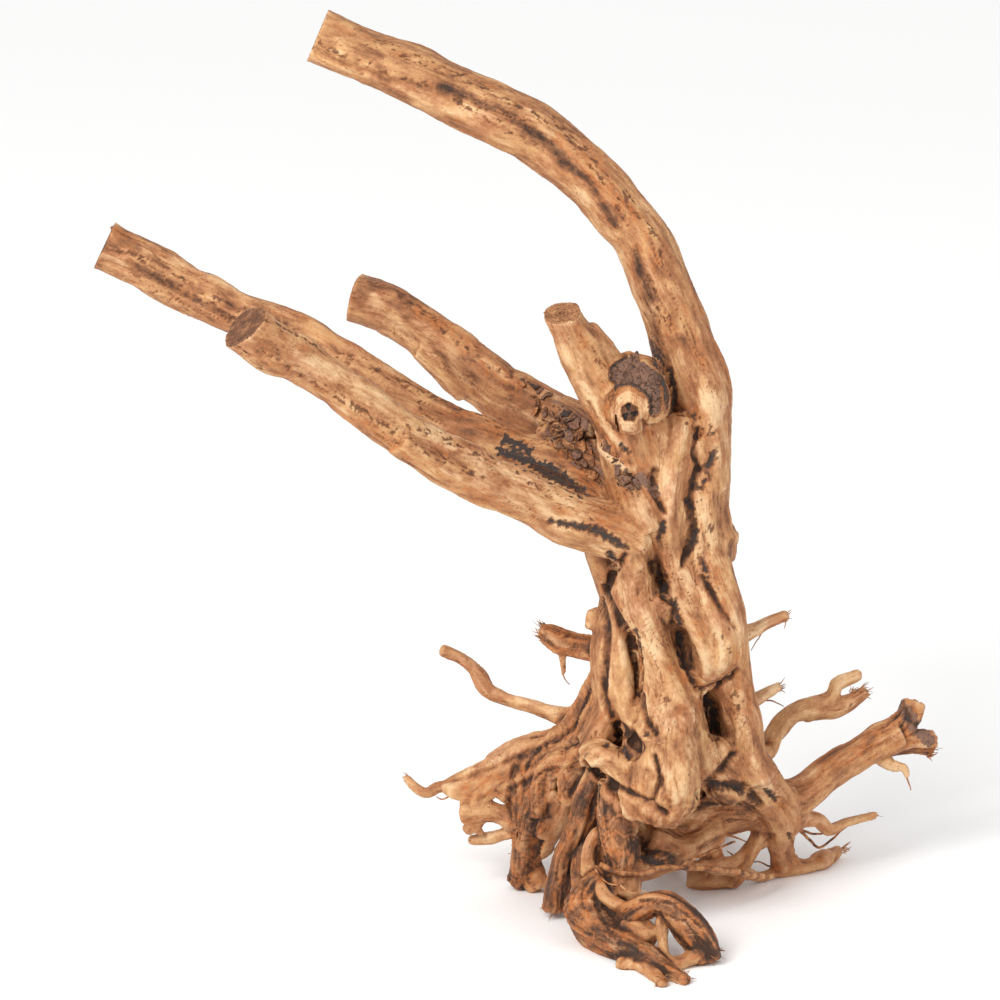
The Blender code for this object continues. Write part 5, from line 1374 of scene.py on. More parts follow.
@dataclass
class VineWood:
    """The wood: fused, cut, given its relief and its masks of colour, and split up."""

    coarse_voxel: float = COARSE_VOXEL
    fine_voxel: float = FINE_VOXEL
    smooth_rounds: int = 3
    routes: list[Route] = field(default_factory=list)
    surface: Surface | None = None
    flow: Flow | None = None

    def work_out(self) -> None:
        """Work all the strands out."""
        longer = []
        for limb in LIMBS:
            (first, half), (second, _) = limb.stations[:2]
            spare = first + (first - second).normalized() * SAW_SPARE
            longer.append(Strand([(spare, half)] + limb.stations, limb.skin, limb.ridges,
                                 limb.ridge_depth, limb.twist, limb.turn, limb.domed))
        self.routes = [Route(piece, THICK_STEP, FUSE_LOSS)
                       for piece in longer + TRUNK_STRANDS + ROOT_STRANDS]
        self.routes += [Route(piece, THIN_STEP, THIN_SPARE) for piece in THIN_ROOTS]

    def saw_cuts(self) -> list[tuple[Vector, Vector]]:
        """Where each limb is sawn, and the way that the cut faces.

        Returns:
            A place and a direction a limb.
        """
        cuts = []
        for limb in LIMBS:
            (first, _), (second, _) = limb.stations[:2]
            cuts.append((first, ASKEW_CUTS.get(id(limb), first - second).normalized()))
        return cuts

    def fuse(self) -> bpy.types.Object:
        """Fuse the strands and cut them.

        Returns:
            The wood as one object of small even faces.
        """
        wood = new_object("wood", *joined(route.tube() for route in self.routes))
        apply_step(wood, "REMESH", mode="VOXEL", voxel_size=self.coarse_voxel * MM)
        Cutters(self.saw_cuts(), HOLLOWS).cut(wood)
        fine = self.fine_voxel
        apply_step(wood, "REMESH", mode="VOXEL", voxel_size=fine * MM)
        keep_largest_body(wood)
        apply_step(wood, "SMOOTH", factor=0.5, iterations=self.smooth_rounds)
        return wood

    def read_surface(self, wood: bpy.types.Object) -> None:
        """Turn the fused wood into arrays and find the strands under each point.

        Args:
            wood: The fused wood, which is removed.
        """
        self.surface = Surface(wood.data)
        bpy.data.objects.remove(wood)
        self.flow = Flow(self.surface.places, self.routes)
        cut = self.keep_cuts()
        for _ in range(2):
            self.settle(cut)
        self.flow = Flow(self.surface.places, self.routes)
        self.mark_cuts()

    def keep_cuts(self) -> Points:
        """Find the points that lie in a hollow, on a sawn face or on the floor.

        Returns:
            A share, 0 to 1, at each point.
        """
        places = self.surface.places
        kept = smoothstep(-0.8, -1.8, self.flow.distance.min(0))
        for mouth, halves, lean in HOLLOWS:
            across, along, deep = halves
            tilt = Matrix.Rotation(-VIEW_TILT, 3, "X") @ Matrix.Rotation(-lean, 3, "Y")
            offset = (places - np.array(seen(*mouth, 0.0)[0])) @ np.array(tilt)
            inside = np.linalg.norm(offset / (across + 1.5, deep + 1.5, along + 1.5), axis=1)
            kept = np.maximum(kept, smoothstep(1.25, 1.0, inside))
        return np.maximum(self.surface.averaged(kept, 3), places[:, 2] < 0.8)

    def settle(self, cut: Points) -> None:
        """Move the surface onto the softly fused strands.

        Args:
            cut: Which points stay where they are.
        """
        surface = self.surface
        softness = surface.averaged(self.flow.relief("merge", self.routes), 3)
        near = Flow(surface.places, self.routes, softness)
        gap = np.clip(near.outside(), -2.4, 1.0)
        move = surface.averaged(-gap * (1.0 - cut), 2)
        surface.push(0.85 * move)
        surface.places = surface.averaged(surface.places, 1)

    def mark_cuts(self) -> None:
        """Find the sawn faces, and lay them flat."""
        places, normals = self.surface.places, self.surface.normals()
        for place, outward in self.saw_cuts():
            middle, facing = np.array(place), np.array(outward)
            past = (places - middle) @ facing
            near = (np.abs(past) < 1.3) & (np.linalg.norm(places - middle, axis=1) < 22.0)
            level = near & (normals @ facing > 0.72)
            self.surface.form["cut"][level] = 1.0
            level |= near & (past > -0.55)
            places[level] -= past[level, None] * facing

    def relief_of_strands(self) -> Points:
        """Relief that runs with the strands.

        Returns:
            Millimetres outwards at each point.
        """
        flow, form = self.flow, self.surface.form

        def share(name: str) -> Points:
            """A field of the skins at each point."""
            return flow.relief(name, self.routes)

        lift = share("swell") * 1.5 * flow.pattern(rough, 24.0, 10.0, 1, octaves=3)
        ridged = 0.5 - np.abs(flow.pattern(rough, 52.0, 4.8, 2, octaves=2)) * 1.6
        lift += share("sinew") * ridged
        line = np.abs(flow.pattern(rough, 36.0, 3.4, 3, octaves=2))
        where = smoothstep(0.10, 0.55, flow.pattern(waves, 44.0, 9.0, 4))
        crack = smoothstep(0.085, 0.0, line) * where
        lift -= share("crack") * 1.3 * crack
        band = smoothstep(0.40, 0.80, flow.pattern(rough, 60.0, 9.0, 5))
        pits = smoothstep(0.26, 0.50, flow.pattern(rough, 4.4, 2.3, 11)) * band
        lone = smoothstep(0.74, 0.90, flow.pattern(rough, 5.0, 4.0, 12, octaves=2))
        pits = np.maximum(pits, 0.8 * lone)
        lift -= share("pit") * 0.9 * pits
        patch = smoothstep(0.0, 0.35, flow.pattern(waves, 30.0, 10.0, 6))
        plate = flow.pattern(rough, 10.0, 3.0, 7)
        lift += share("flake") * 0.7 * smoothstep(0.05, 0.16, plate) * patch
        sway = flow.pattern(rough, 14.0, 9.0, 8)
        along = flow.blended(flow.way[i][:, 0] for i in range(2))
        fold = np.abs(np.sin(along * (math.pi / 4.6) + 5.0 * sway))
        lift += share("wrinkle") * (fold - 0.6)
        lift += 0.16 * flow.pattern(rough, 14.0, 1.7, 9, octaves=2)
        # Pits and cracks are painted dark: painted shade inside them, partly dark wood.
        form["dark"] = np.maximum(0.62 * pits * np.minimum(share("pit") * 1.2, 1.0), 0.36 * crack)
        form["bark"] = share("bark") * smoothstep(-0.1, 0.3, plate)
        form["rust"] = np.clip(share("rust") + 0.8 * smoothstep(
            0.15, 0.6, flow.pattern(rough, 34.0, 10.0, 13)), 0.0, 1.0)
        form["pale"] = 0.7 * smoothstep(0.2, 0.75, flow.pattern(rough, 30.0, 7.0, 14))
        form["tone"] = 0.5 + share("tone") + 0.16 * flow.pattern(rough, 44.0, 12.0, 15)
        return lift

    def view(self) -> tuple[Points, Points, Points]:
        """Each point as the eye sees it.

        Returns:
            Across, up the view, and whether the eye sees it, 0 to 1.
        """
        places = self.surface.places
        sin, cos = math.sin(VIEW_TILT), math.cos(VIEW_TILT)
        across = places[:, 0]
        up = places[:, 2] * cos + (places[:, 1] + FRONT_REACH) * sin
        toward = places[:, 2] * sin - places[:, 1] * cos
        cell = 1.5
        column = np.round((across - across.min()) / cell).astype(int)
        row = np.round((up - up.min()) / cell).astype(int)
        nearest = np.full((column.max() + 1, row.max() + 1), -1e3)
        np.maximum.at(nearest, (column, row), toward)
        facing = self.surface.normals() @ np.array([0.0, -cos, sin])
        front = smoothstep(7.0, 3.5, nearest[column, row] - toward)
        return across, up, front * smoothstep(-0.05, 0.15, facing)

    def draw(self, strokes: Sequence[Stroke]) -> Points:
        """Draw marks on the front of the wood.

        Args:
            strokes: The marks.

        Returns:
            Millimetres outwards at each point.
        """
        across, up, front = self.view()
        places, form = self.surface.places, self.surface.form
        lift = np.zeros(len(places))
        seen_places = np.stack([across, up], 1)
        broken = smoothstep(0.05, 0.28, self.flow.pattern(rough, 5.0, 2.4, 22))
        for number, stroke in enumerate(strokes):
            look = stroke.kind.value
            path = np.array(stroke.path, float)
            reach = path[:, 2].max() + 4.0
            inside = ((seen_places > path[:, :2].min(0) - reach)
                      & (seen_places < path[:, :2].max(0) + reach)).all(1) & (front > 0.0)
            index = np.nonzero(inside)[0]
            if not len(index):
                continue
            room, half = self.room_in(path, seen_places[index])
            jag = rough(places[index] / 2.2 + number * 1.7, 21, octaves=3)
            if look.rounded:
                mask = smoothstep(-0.15, 1.0, room / half + 0.15 * jag)
            else:
                room = room + look.ragged * jag * 1.4
                mask = smoothstep(-look.soft, look.soft, room)
            mask = mask * front[index]
            if look.broken:
                mask = mask * broken[index]
            deep = mask * smoothstep(-1.0, 0.6, room + 0.4)
            lift[index] += look.depth * deep
            # Some kinds paint highlight and shade through their tone and dark shares.
            form["tone"][index] += look.tone * mask
            for name in ("dark", "rust", "soot_and_shade", "bark", "pale"):
                value = getattr(look, name) * mask
                form[name][index] = np.maximum(form[name][index], value)
        return lift

    @staticmethod
    def room_in(path: Points, places: Points) -> tuple[Points, Points]:
        """How far inside a stroke each place is.

        Args:
            path: Across, up and half width of the stroke's points.
            places: Across and up of the places.

        Returns:
            Millimetres, below 0 outside, and the stroke's half width there.
        """
        room = np.full(len(places), -1e3)
        width = np.full(len(places), path[0, 2])
        for start, end in zip(path, path[1:] if len(path) > 1 else path):
            run = end[:2] - start[:2]
            share = np.clip(((places - start[:2]) @ run) / max(run @ run, 1e-9), 0.0, 1.0)
            nearest = start[:2] + share[:, None] * run
            half = start[2] + share * (end[2] - start[2])
            here = half - np.hypot(*(places - nearest).T)
            width = np.where(here > room, half, width)
            room = np.maximum(room, here)
        return room, width

    def carve(self) -> None:
        """Give the wood its relief, and work out where it is light, dark, worn or rough, with
        painted highlight and shade by its form.
        """
        surface = self.surface
        flat = 1.0 - surface.form["cut"]
        cavity = ((surface.averaged(surface.places, 6) - surface.places)
                  * surface.normals()).sum(1)
        surface.push(-0.9 * np.clip(cavity, -0.25, 0.8) * flat)
        surface.push(self.relief_of_strands() * flat)
        surface.push(surface.averaged(self.draw(STROKES), 1))
        self.mark_cuts()
        surface.places[:, 2] = np.maximum(surface.places[:, 2], 0.0)
        self.shade_by_form()

    def shade_by_form(self) -> None:
        """Paint highlight on proud parts and shade in deep ones, put rust in the crevices, and
        make the wood darker and rustier towards the floor.
        """
        surface = self.surface
        places, normals, form = surface.places, surface.normals(), surface.form
        near = ((surface.averaged(places, 4) - places) * normals).sum(1)
        wide = ((surface.averaged(places, 60) - places) * normals).sum(1)
        # Painted highlight on proud parts and painted shade in hollows, at a fine and a broad
        # size.
        form["tone"] += np.clip(-0.55 * near, -0.35, 0.20) + np.clip(-0.10 * wide, -0.30, 0.10)
        # Painted shade in the crevices.
        form["dark"] = np.maximum(form["dark"], smoothstep(0.35, 1.1, near) * 0.30)
        form["rust"] = np.maximum(form["rust"], 0.9 * smoothstep(0.10, 0.45, near))
        # Darker and rustier towards the floor.
        near_floor = smoothstep(80.0, 30.0, places[:, 2]) * (1.0 - form["cut"])
        form["rust"] = np.clip(form["rust"] + 0.45 * near_floor, 0.0, 1.0)
        form["tone"] -= 0.09 * near_floor
        form["gloss"] = smoothstep(0.3, -0.3, near + 0.6 * form["dark"])

    def whole(self, finish: bpy.types.Material) -> bpy.types.Object:
        """The wood as one object, with its flow, its masks and the way that it faces.

        Args:
            finish: The material.

        Returns:
            The object.
        """
        surface, flow = self.surface, self.flow
        wood = new_object("wood", surface.places + np.array(TO_CAD),
                          [tuple(quad) for quad in surface.quads.tolist()])
        mesh = wood.data
        add_columns(mesh, {"flow_a": flow.way[0], "flow_b": flow.way[1],
                           "facing": surface.normals(), "flow_mix": flow.mix})
        add_columns(mesh, mask_columns(surface.form, len(surface.places)))
        mesh.materials.append(finish)
        mesh.shade_smooth()
        return wood

    def split(self, finish: bpy.types.Material) -> list[bpy.types.Object]:
        """Split the wood into pieces that meet edge to edge, so that none is too fine.

        Args:
            finish: The material.

        Returns:
            The pieces.
        """
        above, below = self.halves(self.whole(finish), *ABOVE_ROOTS)
        trunk, limbs = self.halves(above, *RIGHT_OF_LIMBS)
        tall, low = self.halves(limbs, *HIGH_UP)
        upper, lower = self.halves(trunk, *UPPER_TRUNK)
        right, left = self.halves(below, *RIGHT_ROOTS)
        pieces = {"high_limbs": tall, "low_limbs": low, "upper_trunk": upper, "lower_trunk": lower,
                  "left_roots": left, "right_roots": right}
        for name, piece in pieces.items():
            piece.name = name
            self.shade_as_whole(piece.data)
            LOG.info("%s: %d faces", name, len(piece.data.polygons))
        return list(pieces.values())

    @staticmethod
    def halves(wood: bpy.types.Object, place: Sequence[float],
               facing: Sequence[float]) -> tuple[bpy.types.Object, bpy.types.Object]:
        """Cut an object in two along a plane.

        Args:
            wood: The object, which becomes the first half.
            place: A point on the plane, in the strands' own millimetres.
            facing: The way that the plane faces.

        Returns:
            The half that the plane faces, and the other.
        """
        other = wood.copy()
        other.data = wood.data.copy()
        bpy.context.scene.collection.objects.link(other)
        point = (Vector(place) + Vector(TO_CAD)) * MM
        for half, outer in ((wood, False), (other, True)):
            select_only(half)
            bpy.ops.object.mode_set(mode="EDIT")
            bpy.ops.mesh.select_all(action="SELECT")
            bpy.ops.mesh.bisect(plane_co=point, plane_no=facing, clear_inner=not outer,
                                clear_outer=outer)
            bpy.ops.object.mode_set(mode="OBJECT")
        return wood, other

    @staticmethod
    def shade_as_whole(mesh: bpy.types.Mesh) -> None:
        """Shade a piece as part of the whole, so no seam shows.

        Args:
            mesh: The piece's mesh.
        """
        facing = np.empty(len(mesh.vertices) * 3, np.float32)
        mesh.attributes["facing"].data.foreach_get("vector", facing)
        mesh.attributes.remove(mesh.attributes["facing"])
        mesh.normals_split_custom_set_from_vertices(facing.reshape(-1, 3).tolist())


# Hair roots: across, up, back and half width at each point.
HAIRS = [
    ((52, 177, 14, 0.4), (49, 172, 16, 0.35), (46, 167, 18, 0.2)),
    ((63, 184, 17, 0.4), (63.2, 180.5, 17, 0.3), (62.6, 178, 17, 0.15)),
    ((50, 142, 16, 0.5), (57, 141.5, 20, 0.45), (62.5, 139, 23, 0.2)),
    ((27, 73, 14, 0.7), (36, 73.5, 18, 0.6), (44, 70.5, 22, 0.3)),
    ((70, 77, 40, 0.9), (76, 71.5, 46, 0.8), (81.5, 67, 50, 0.7), (89, 72.5, 54, 0.6),
     (97.5, 80, 58, 0.35)),
    ((72, 76, 40, 0.8), (80, 74, 46, 0.6), (87.5, 75.5, 50, 0.3)),
    ((-49, 158, 10, 0.5), (-47.5, 153, 10, 0.35), (-45, 150, 10, 0.2)),
    ((-62, 74, 20, 0.5), (-70, 66, 24, 0.4), (-76, 64, 26, 0.2)),
    ((-20, 50, -60, 0.5), (-14, 46, -64, 0.4), (-8, 47, -66, 0.3), (-3, 44, -70, 0.2)),
    ((-46, 92, -2, 0.6), (-52, 84, 6, 0.5), (-60, 78, 14, 0.4), (-66, 70, 20, 0.3)),
    ((60, 70, 46, 0.7), (50, 66, 38, 0.6), (42, 62, 32, 0.5), (34, 66, 26, 0.3)),
    ((66, 66, 52, 0.6), (58, 58, 48, 0.5), (50, 60, 40, 0.4), (42, 58, 34, 0.25)),
    ((-34, 60, -44, 0.6), (-28, 52, -52, 0.5), (-22, 50, -56, 0.4), (-14, 52, -58, 0.25)),
    ((125, 103, 46, 0.6), (126.5, 99, 46, 0.4), (127, 96, 46, 0.2)),
    ((-101, 97, 33, 0.6), (-108, 92, 36, 0.5), (-112, 93, 38, 0.25)),
    ((-30, 60, -50, 1.7), (-20, 56, -50, 1.6), (-8, 55.5, -46, 1.5), (2, 58.5, -38, 1.4),
     (12, 58, -30, 1.4), (26, 57.5, -18, 1.5), (40, 55.5, -4, 1.7), (50, 53, 10, 1.9),
     (57, 53, 24, 2.0)),
    ((54, 77, 28, 0.9), (50, 68, 26, 0.8), (45.5, 61, 24, 0.6), (37, 49, 20, 0.35)),
    ((10, 58, -31, 0.9), (16, 62, -24, 0.8), (26, 66, -14, 0.7), (38, 71, -2, 0.6)),
    ((-62, 92, 4, 0.9), (-68, 84, 10, 0.8), (-72, 74, 14, 0.6), (-71, 64, 16, 0.4)),
]


@dataclass(frozen=True)
class Fray:
    """Loose fibres at a broken root end."""

    at: tuple[float, float, float]
    toward: tuple[float, float, float]
    width: float
    length: float
    count: int


# Broken root ends: place and the way they point, across, back and height.
FRAYS = [
    Fray((24.0, -80.0, 3.0), (0.7, -0.3, -0.45), 6.5, 7.0, 90),
    Fray((20.0, -78.5, 8.0), (0.8, -0.35, 0.1), 6.0, 4.5, 50),
    Fray((12.0, -109.0, 3.0), (0.75, -0.65, 0.0), 3.0, 5.0, 26),
    Fray((1.0, -114.0, 2.0), (0.3, -0.9, 0.0), 3.0, 4.0, 20),
    Fray((-53.0, -13.0, 3.5), (-0.2, -0.25, -0.9), 5.5, 4.5, 60),
    Fray((-59.0, 10.0, 144.0), (-0.85, -0.2, 0.35), 4.5, 5.0, 46),
    Fray((128.0, 58.0, 88.0), (0.35, 0.1, 0.9), 5.0, 3.5, 44),
    Fray((138.0, 59.5, 64.0), (0.95, 0.15, 0.1), 5.0, 3.5, 44),
    Fray((100.0, 57.0, 95.0), (0.8, 0.2, 0.5), 3.2, 4.0, 18),
    Fray((104.0, 58.0, 96.0), (0.8, 0.2, 0.45), 2.6, 6.0, 20),
    Fray((-127.0, 46.0, 53.0), (-0.7, 0.1, 0.7), 1.5, 5.0, 10),
    Fray((-109.0, 50.0, 119.0), (-0.9, 0.1, 0.3), 2.4, 4.0, 14),
    Fray((94.5, 74.0, 4.0), (0.7, 0.6, -0.2), 2.2, 5.0, 14),
    Fray((110.0, 56.0, 29.0), (0.9, 0.3, 0.2), 1.3, 6.0, 8),
    Fray((64.0, 17.0, 150.0), (0.85, 0.2, 0.45), 2.0, 4.0, 12),
    Fray((61.0, 20.0, 111.0), (0.85, 0.2, 0.4), 2.0, 5.0, 14),
    Fray((18.0, 46.0, 160.0), (0.2, 0.9, 0.3), 4.5, 4.5, 40),
    Fray((-10.0, 43.0, 194.0), (-0.3, 0.7, 0.6), 4.0, 4.5, 36),
]


# Tone, rust, soot and bark of a hair, then its dark, pale, cut and gloss.
HAIR_WEAR = np.array([0.42, 0.75, 0.0, 0.0], np.float32)
HAIR_FORM = np.array([0.0, 0.1, 0.0, 0.3], np.float32)


@dataclass
class RootHairs:
    """Hair roots and the loose fibres at broken root ends."""

    sides: int = 5
    seed: int = 7

    def fibre(self, points: list[Vector], halves: list[float]) -> tuple[Points, Faces]:
        """One hair as a closed tube.

        Args:
            points: Places down its middle.
            halves: Its half width at each.

        Returns:
            Corner places and faces.
        """
        corners = []
        for middle, (_, side, upper), half in zip(points, Route.frames_along(points), halves):
            for k in range(self.sides):
                angle = 2.0 * math.pi * k / self.sides
                corners.append(middle + (side * math.cos(angle) + upper * math.sin(angle)) * half)
        return np.array(corners, float), tube_faces(len(points), self.sides)

    def frayed(self, fray: Fray, dice: np.random.Generator) -> list[tuple[Points, Faces]]:
        """The loose fibres of one broken end.

        Args:
            fray: The broken end.
            dice: Seeded random numbers.

        Returns:
            The fibres.
        """
        toward = Vector(fray.toward).normalized()
        side = toward.orthogonal().normalized()
        upper = toward.cross(side)
        fibres = []
        for _ in range(fray.count):
            turn = dice.uniform(0.0, 2.0 * math.pi)
            out = side * math.cos(turn) + upper * math.sin(turn)
            start = Vector(fray.at) + out * fray.width * math.sqrt(dice.uniform(0.05, 1.0)) * 0.9
            start -= toward * dice.uniform(1.5, 4.0)
            length = fray.length * dice.uniform(0.15, 0.65) + 2.0
            lean = (toward + out * dice.uniform(-0.1, 0.5)
                    + Vector(dice.normal(0.0, 0.16, 3))).normalized()
            bend = Vector(dice.normal(0.0, 0.28, 3)) * length * 1.3
            points = [start + lean * length * t + bend * t * t for t in (0.0, 0.35, 0.7, 1.0)]
            for point in points:
                point.z = max(point.z, 0.3)
            half = dice.uniform(0.16, 0.42)
            fibres.append(self.fibre(points, [half, half * 0.95, half * 0.7, half * 0.25]))
        return fibres

    def build(self, finish: bpy.types.Material) -> bpy.types.Object:
        """Build all the hairs as one piece.

        Args:
            finish: The material.

        Returns:
            The piece.
        """
        dice = np.random.default_rng(self.seed)
        noise.seed_set(self.seed)
        fibres = []
        for hair in HAIRS:
            route = smooth_route([seen(*point) for point in hair], 1.6)
            points = [middle + Vector(noise.noise_vector(middle / 4.0)) * 0.5
                      for middle, _ in route]
            fibres.append(self.fibre(points, [half for _, half in route]))
        for fray in FRAYS:
            fibres += self.frayed(fray, dice)
        places, faces = joined(fibres)
        piece = new_object("root_hairs", places + np.array(TO_CAD), faces)
        mesh = piece.data
        count = len(places)
        shades = np.repeat(dice.uniform(-0.2, 0.28, count // self.sides + 1), self.sides)[:count]
        wear_and_shade = np.tile(HAIR_WEAR, (count, 1))
        wear_and_shade[:, 0] += shades
        add_columns(mesh, {"flow_a": places, "flow_b": places, "flow_mix": np.zeros(count),
                           "wear_and_shade": wear_and_shade, "form": np.tile(HAIR_FORM, (count, 1))})
        mesh.materials.append(finish)
        mesh.shade_smooth()
        return piece


class Crust(Enum):
    """What a fine patch on the front of the wood shows."""

    KNOB = "a lump of bark over a ringed knot"
    CRUMBS = "crumbling bark between the limbs"


@dataclass
class FinePatch:
    """A finer skin laid over a small part of the front, where the eye looks closest."""

    name: str
    crust: Crust
    corner: tuple[float, float]
    size: tuple[float, float]
    step: float = 0.36
    edge: float = 2.4
    steepest: float = 0.7
    strayed: float = 1.2

    def drape(self, surface: Surface) -> tuple[Points, Points, Points]:
        """Lay an even net over the wood as the eye sees it.

        Args:
            surface: The wood.

        Returns:
            Across, up and nearness of the net's points, each a table.
        """
        sin, cos = math.sin(VIEW_TILT), math.cos(VIEW_TILT)
        across = self.corner[0] + np.arange(0.0, self.size[0], self.step)
        up = self.corner[1] + np.arange(0.0, self.size[1], self.step)
        across, up = np.meshgrid(across, up, indexing="ij")
        places = surface.places
        seen_across = places[:, 0]
        seen_up = places[:, 2] * cos + (places[:, 1] + FRONT_REACH) * sin
        toward = places[:, 2] * sin - places[:, 1] * cos
        columns = ((seen_across - self.corner[0]) / 1.1).astype(int)
        rows = ((seen_up - self.corner[1]) / 1.1).astype(int)
        wide, high = int(self.size[0] / 1.1) + 2, int(self.size[1] / 1.1) + 2
        inside = ((seen_across > self.corner[0]) & (seen_up > self.corner[1])
                  & (columns < wide) & (rows < high))
        nearest = np.full((wide, high), -1e3)
        np.maximum.at(nearest, (columns[inside], rows[inside]), toward[inside])
        for _ in range(3):
            around = np.stack([np.roll(nearest, shift, axis) for shift in (-1, 1)
                               for axis in (0, 1)])
            nearest = np.where(nearest < -500.0, around.max(0), nearest)
        low = nearest[nearest > -500.0].min()
        nearest = np.maximum(nearest, low)
        true = nearest
        for _ in range(3):
            nearest = 0.5 * nearest + 0.125 * sum(np.roll(nearest, shift, axis)
                                                  for shift in (-1, 1) for axis in (0, 1))
        nearest = np.where(np.abs(nearest - true) > self.strayed, -1e3, nearest)
        column = np.clip((across - self.corner[0]) / 1.1 - 0.5, 0.0, wide - 1.001)
        row = np.clip((up - self.corner[1]) / 1.1 - 0.5, 0.0, high - 1.001)
        left, low_row = column.astype(int), row.astype(int)
        part, rise = column - left, row - low_row
        net = ((nearest[left, low_row] * (1 - part) + nearest[left + 1, low_row] * part)
               * (1 - rise)
               + (nearest[left, low_row + 1] * (1 - part)
                  + nearest[left + 1, low_row + 1] * part) * rise)
        return across, up, net

    def crumbs(self, across: Points, up: Points) -> tuple[Points, dict[str, Points], Points]:
        """Chunks of grey-brown bark, with black painted shade in the gaps between them.

        Args:
            across: Across at each point.
            up: Up the view at each point.

        Returns:
            Height over the wood, masks of colour, and how far inside the patch each point is.
        """
        flat = np.stack([across, up * 1.25, np.zeros_like(up)], 1)
        bent = flat + 1.6 * np.stack([rough(flat / 5.0, 41), rough(flat / 5.0, 42),
                                      np.zeros(len(flat))], 1)
        near, second, number = grains(bent / 6.2, 43)
        gap = smoothstep(0.20, 0.04, second - near)
        fine, fine_second, fine_number = grains(bent / 2.3, 44)
        small = smoothstep(0.16, 0.03, fine_second - fine)
        height = 0.4 + 2.0 * number - 2.6 * gap - 0.5 * small + 0.5 * fine_number
        height = height + 0.5 * rough(flat / 2.0, 45)
        room = np.full(len(flat), -1e3)
        for path in (((-66.0, 302.0, 5.0), (-57.0, 297.0, 8.0), (-47.0, 292.0, 7.5),
                      (-41.0, 287.0, 5.0)),
                     ((-58.0, 286.0, 6.0), (-46.0, 277.0, 8.5), (-35.0, 270.0, 8.0),
                      (-24.0, 258.0, 6.5), (-14.0, 250.0, 4.5)),
                     ((-55.0, 276.0, 4.5), (-40.0, 264.0, 6.0), (-27.0, 252.0, 4.5))):
            here, _ = VineWood.room_in(np.array(path), flat[:, :2] / (1.0, 1.25))
            room = np.maximum(room, here)
        room = room + 1.6 * rough(flat / 3.5, 46)
        # The gaps get painted shade: a darker tone and the dark mask.
        masks = {"tone": 0.42 + 0.35 * (number - 0.5) - 0.25 * gap + 0.2 * (fine_number - 0.5),
                 "rust": np.clip(1.2 * number - 0.15, 0.0, 1.0),
                 "bark": smoothstep(0.35, 0.75, (number * 5.3) % 1.0) * 0.95,
                 "dark": np.maximum(1.0 * gap, 0.5 * small * (number > 0.4)),
                 "soot_and_shade": 0.6 * smoothstep(0.8, 0.95, (number * 3.7) % 1.0)}
        return height, masks, room

    def knob(self, across: Points, up: Points) -> tuple[Points, dict[str, Points], Points]:
        """A lump of purple-grey bark with a torn rim, over a pale knot with a dark heart; painted
        shade darkens the heart's pit, the lobes, the bark's cracks and the wood beside the rim.

        Args:
            across: Across at each point.
            up: Up the view at each point.

        Returns:
            Height over the wood, masks of colour, and how far inside the patch each point is.
        """
        flat = np.stack([across, up, np.zeros_like(up)], 1)
        jag = rough(flat / 3.4, 51)
        bark_room, _ = VineWood.room_in(np.array([(-20.0, 305.5, 6.0), (-13.0, 308.0, 7.5),
                                                  (-6.5, 303.5, 7.0), (-3.5, 294.0, 4.8),
                                                  (-3.0, 287.5, 3.6)]), flat[:, :2])
        middle_room, _ = VineWood.room_in(np.array([(-14.0, 299.0, 9.0), (-8.0, 297.0, 8.5)]),
                                          flat[:, :2])
        bark_room = np.maximum(bark_room, middle_room) + 0.7 * jag
        knot = np.array([-15.6, 286.3])
        offset = (flat[:, :2] - knot) / (1.0, 1.04)
        apart = np.hypot(offset[:, 0], offset[:, 1])
        turn = np.arctan2(offset[:, 1], offset[:, 0])
        wobble = 0.7 * rough(np.stack([np.cos(turn), np.sin(turn), np.zeros_like(turn)], 1)
                             * 1.7, 52)
        apart = apart + wobble
        collar = 10.4 + 2.0 * np.cos(turn - 2.2) + 1.5 * jag
        under_bark = smoothstep(-0.6, 0.6, bark_room) * smoothstep(-0.5, 0.8, apart - collar)
        bent = flat + 1.3 * np.stack([rough(flat / 3.0, 53), rough(flat / 3.0, 54),
                                      np.zeros(len(flat))], 1)
        near, second, number = grains(bent / (3.4, 4.6, 3.4), 55)
        net = smoothstep(0.10, 0.01, second - near)
        fine, fine_second, _ = grains(bent / (1.25, 1.9, 1.25), 56)
        fine_net = smoothstep(0.12, 0.02, fine_second - fine)
        crown = 3.2 * smoothstep(0.0, 6.5, bark_room)
        bark_height = crown - 0.75 * net - 0.28 * fine_net + 0.35 * rough(flat / 1.4, 57)
        rings = np.sin(apart * 3.6 + 1.4 * rough(flat / 2.4, 58))
        knot_height = (1.5 * smoothstep(11.0, 6.0, apart) + 0.16 * rings
                       - 2.2 * smoothstep(4.6, 3.6, apart))
        lobes = smoothstep(0.1, 0.7, np.cos(turn * 3.0 + 0.9)) * smoothstep(4.4, 3.4, apart)
        lobes = lobes * smoothstep(0.5, 1.3, apart)
        knot_height = knot_height + 0.5 * smoothstep(4.4, 3.4, apart) - 1.5 * lobes
        rim = np.exp(-((apart - collar) / 0.9) ** 2) * smoothstep(-0.75, -0.1, np.sin(turn + 0.35))
        rim = rim * (0.75 + 0.9 * rough(flat / 2.0, 59))
        height = np.where(under_bark > 0.5, bark_height, knot_height + 2.2) + 2.0 * rim
        edge_line = np.exp(-((bark_room - 0.6) / 0.7) ** 2) * (apart > collar)
        height = height + 0.5 * edge_line
        knot_room = collar + 1.6 - apart
        room = np.maximum(bark_room + 0.8, knot_room)
        pale = smoothstep(4.2, 5.2, apart) * smoothstep(10.5, 8.5, apart)
        flake = smoothstep(-5.0, -3.0, flat[:, 0]) * (flat[:, 1] < 303.0)
